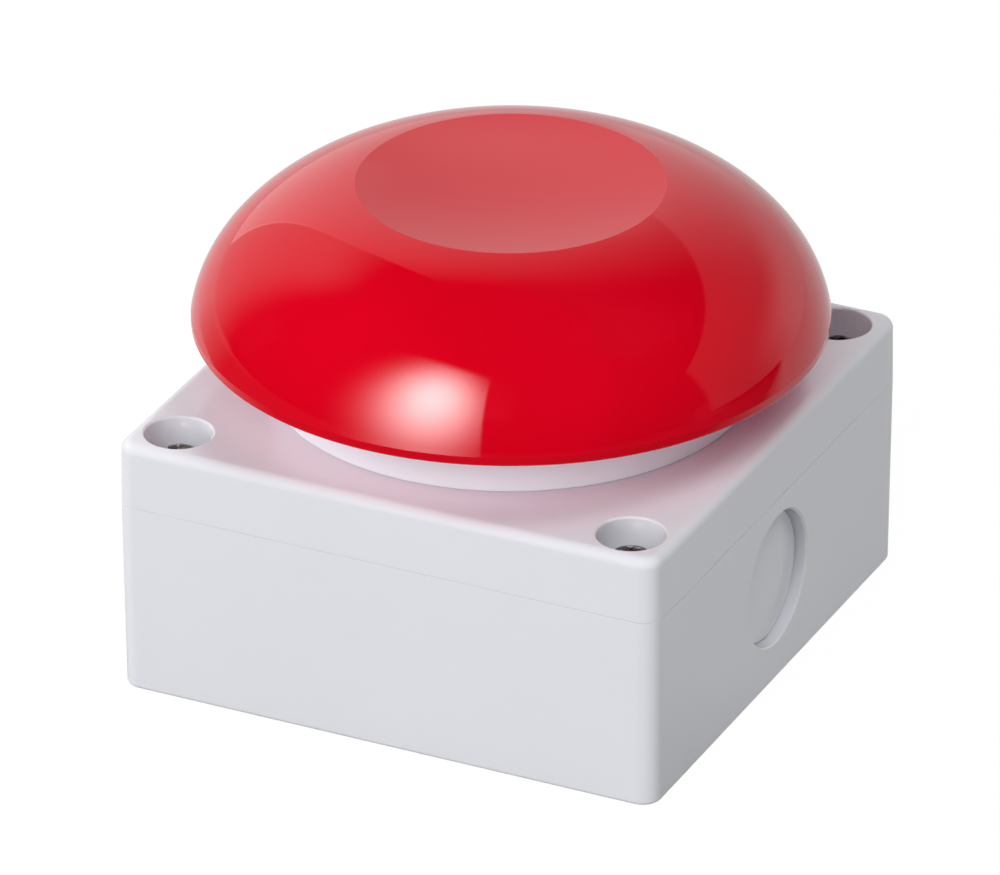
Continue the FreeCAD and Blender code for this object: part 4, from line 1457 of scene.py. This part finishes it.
@dataclass
class Studio:
    """The camera at the photograph's angle, the pale floor and the plain soft lights.

    The surroundings are as bright as fill says to matte surfaces and as mirrored says to glossy ones.
    The sweep is the white that the floor shows in glossy surfaces. It starts behind the button, and
    further left than sweep_near it falls off towards the front.
    """

    azimuth: float = 25.60
    elevation: float = 27.827
    roll: float = -0.11
    distance: float = 1.6567
    aim_height: float = 36.87 * MM
    offset_right: float = -1.65 * MM
    offset_up: float = -5.73 * MM
    lens: float = 404.68
    sensor: float = 36.0
    fill: float = 0.01
    mirrored: float = 0.02
    floor_half: float = 3.0
    floor_colour: Colour = (0.35, 0.35, 0.35)
    floor_roughness: float = 0.8
    floor_white: float = 1.08
    floor_share: float = 0.9
    sweep_side: float = 0.06
    sweep_start: float = -0.14
    sweep_end: float = -0.06
    sweep_white: float = 0.88
    sweep_near: float = -0.2
    sweep_least: float = 1.0 * MM
    sweep_left_slopes: tuple[float, float] = (-0.1, 0.4)
    mirror_share: float = 0.78
    # Name, first and last azimuth, low and high edge, distance and radiance, then fades and glow.
    panels: tuple[Panel, ...] = (
        Panel("key_panel", -51.5, 15.5, 0.002, 0.82, 0.45, 19.0, first_fade=0.66, top_fade=0.14,
              glow=Glow(-4.6, 0.363, 0.099, 0.195)),
        Panel("left_panel", -125.0, -88.0, 0.035, 2.2, 1.4, 0.62, last_fade=0.6, top_fade=0.45),
        Panel("back_panel", -207.7, -125.0, 0.035, 4.6, 1.4, 1.16, first_fade=0.95, top_fade=0.99),
        Panel("high_back_panel", -215.0, -115.0, 0.0, 3.2, 1.5, 0.48, glow=Glow(-156.9, 1.25, 0.2, 0.2)),
        Panel("right_panel", 96.0, 201.9, 0.04, 1.11, 1.1, 0.25, first_fade=0.05, last_fade=0.07,
              top_fade=0.02),
        Panel("low_right_panel", 116.0, 184.3, 0.04, 0.53, 1.05, 0.68, first_fade=0.57, last_fade=0.62,
              top_fade=0.6),
    )
    # Name, azimuth, elevation, size and radiance.
    lamps: tuple[SoftLamp, ...] = (
        SoftLamp("left_lamp", -90.0, 18.0, 0.6, 7.1),
        SoftLamp("left_back_lamp", -125.0, 20.0, 0.6, 1.9),
        SoftLamp("low_front_lamp", -12.0, 12.0, 0.6, 5.0),
        SoftLamp("front_lamp", 12.0, 38.0, 0.6, 5.4),
        SoftLamp("high_front_lamp", -12.0, 38.0, 0.6, 2.7),
        SoftLamp("high_right_lamp", 106.0, 62.0, 0.6, 4.2),
        SoftLamp("back_lamp", 180.0, 65.0, 0.6, 1.5),
        SoftLamp("low_right_lamp", 95.0, 2.5, 0.28, 12.0),
    )

    def add_camera(self) -> None:
        """Add the camera."""
        back = outwards(self.azimuth, self.elevation)
        right = outwards(self.azimuth + 90)
        up = back.cross(right)
        roll = math.radians(self.roll)
        tilted_right = right * math.cos(roll) + up * math.sin(roll)
        tilted_up = up * math.cos(roll) - right * math.sin(roll)
        place = Vector((0.0, 0.0, self.aim_height)) + back * self.distance
        place += tilted_right * self.offset_right + tilted_up * self.offset_up
        data = bpy.data.cameras.new("photo_camera")
        data.lens = self.lens
        data.sensor_width = self.sensor
        camera = bpy.data.objects.new("photo_camera", data)
        turn = Matrix((tilted_right, tilted_up, back)).transposed()
        camera.matrix_world = Matrix.Translation(place) @ turn.to_4x4()
        bpy.context.scene.collection.objects.link(camera)
        bpy.context.scene.camera = camera

    def add_world(self) -> None:
        """Make the surroundings white to the camera and an even soft fill for matte surfaces."""
        world = bpy.data.worlds.new("studio")
        bpy.context.scene.world = world
        nodes = Nodes(world)
        nodes.tree.nodes.clear()
        path = nodes.add("ShaderNodeLightPath").outputs
        strength = nodes.math("MAXIMUM", path["Is Camera Ray"], path["Is Transmission Ray"])
        strength = nodes.math("MULTIPLY_ADD", path["Is Glossy Ray"], self.mirrored, strength)
        strength = nodes.math("MULTIPLY_ADD", path["Is Diffuse Ray"], self.fill, strength)
        background = nodes.add("ShaderNodeBackground", Color=WHITE)
        nodes.link(strength, background.inputs["Strength"])
        nodes.link(background.outputs[0], nodes.add("ShaderNodeOutputWorld").inputs["Surface"])

    def mirrored_sweep(self, nodes: MaterialNodes) -> NodeSocket:
        """Work out how white the floor is in glossy surfaces.

        Args:
            nodes: the floor's nodes.

        Returns:
            The socket with the white's strength.
        """
        split = nodes.add("ShaderNodeSeparateXYZ")
        nodes.link(nodes.place, split.inputs[0])
        aside = nodes.math("MAXIMUM", split.outputs["X"], self.sweep_side)
        behind = nodes.math("SUBTRACT", split.outputs["Y"], aside)
        sweep = nodes.spread(behind, 0.0, self.sweep_white, self.sweep_start, self.sweep_end)
        # How far left a point lies is kept above nothing, so that the slope has a value everywhere.
        left = nodes.math("MAXIMUM", nodes.math("MULTIPLY", split.outputs["X"], -1.0), self.sweep_least)
        slope = nodes.math("DIVIDE", split.outputs["Y"], left)
        near = nodes.math("GREATER_THAN", split.outputs["X"], self.sweep_near)
        lit = nodes.math("MAXIMUM", near, nodes.spread(slope, 0.0, 1.0, *self.sweep_left_slopes))
        return nodes.math("MULTIPLY", sweep, lit)

    def add_floor(self) -> None:
        """Lay the white floor, which shows as plain white with a faint shadow."""
        bm = bmesh.new()
        bmesh.ops.create_grid(bm, x_segments=1, y_segments=1, size=self.floor_half)
        floor = new_object("studio_floor", bm)
        nodes = MaterialNodes("floor_paint")
        nodes.shader.inputs["Base Color"].default_value = (*self.floor_colour, 1.0)
        nodes.shader.inputs["Roughness"].default_value = self.floor_roughness
        path = nodes.add("ShaderNodeLightPath").outputs
        seen = nodes.math("MAXIMUM", path["Is Camera Ray"], path["Is Transmission Ray"])
        mirrored = nodes.math("MULTIPLY", path["Is Glossy Ray"], self.mirrored_sweep(nodes))
        white = nodes.add("ShaderNodeEmission", Color=WHITE)
        nodes.link(nodes.math("MULTIPLY_ADD", seen, self.floor_white, mirrored), white.inputs["Strength"])
        seen_share = nodes.math("MULTIPLY", seen, self.floor_share)
        mirrored_share = nodes.math("MULTIPLY", path["Is Glossy Ray"], self.mirror_share)
        nodes.mix_in(nodes.math("MAXIMUM", seen_share, mirrored_share), white)
        floor.data.materials.append(nodes.material)

    def shine_only_on(self, light: str, pieces: tuple[str, ...]) -> None:
        """Let a light reach only some pieces, as flags around it would.

        Args:
            light: the light's name.
            pieces: the names of the pieces that it reaches.
        """
        reached = bpy.data.collections.new(f"{light}_reach")
        for name in pieces:
            reached.objects.link(bpy.data.objects[name])
        bpy.data.objects[light].light_linking.receiver_collection = reached

    def build(self) -> None:
        """Set the studio up."""
        self.add_camera()
        self.add_world()
        self.add_floor()
        for light in self.panels + self.lamps:
            light.build()
        self.shine_only_on("key_panel", ("dome", "lid_screw_set"))
        bpy.context.scene.view_settings.view_transform = "Standard"


def main() -> None:
    """Build the button piece by piece."""
    logging.basicConfig(level=logging.INFO, format="%(name)s %(message)s")
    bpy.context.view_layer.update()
    wardrobe = Wardrobe()
    box = Box()
    box.build(wardrobe)
    LidScrews().build(box, wardrobe)
    Collar().build(box, wardrobe)
    Cap().build(wardrobe)
    Springs().build(wardrobe)
    InnerWorks().build(wardrobe)
    Studio().build()


if __name__ == "__main__":
    main()
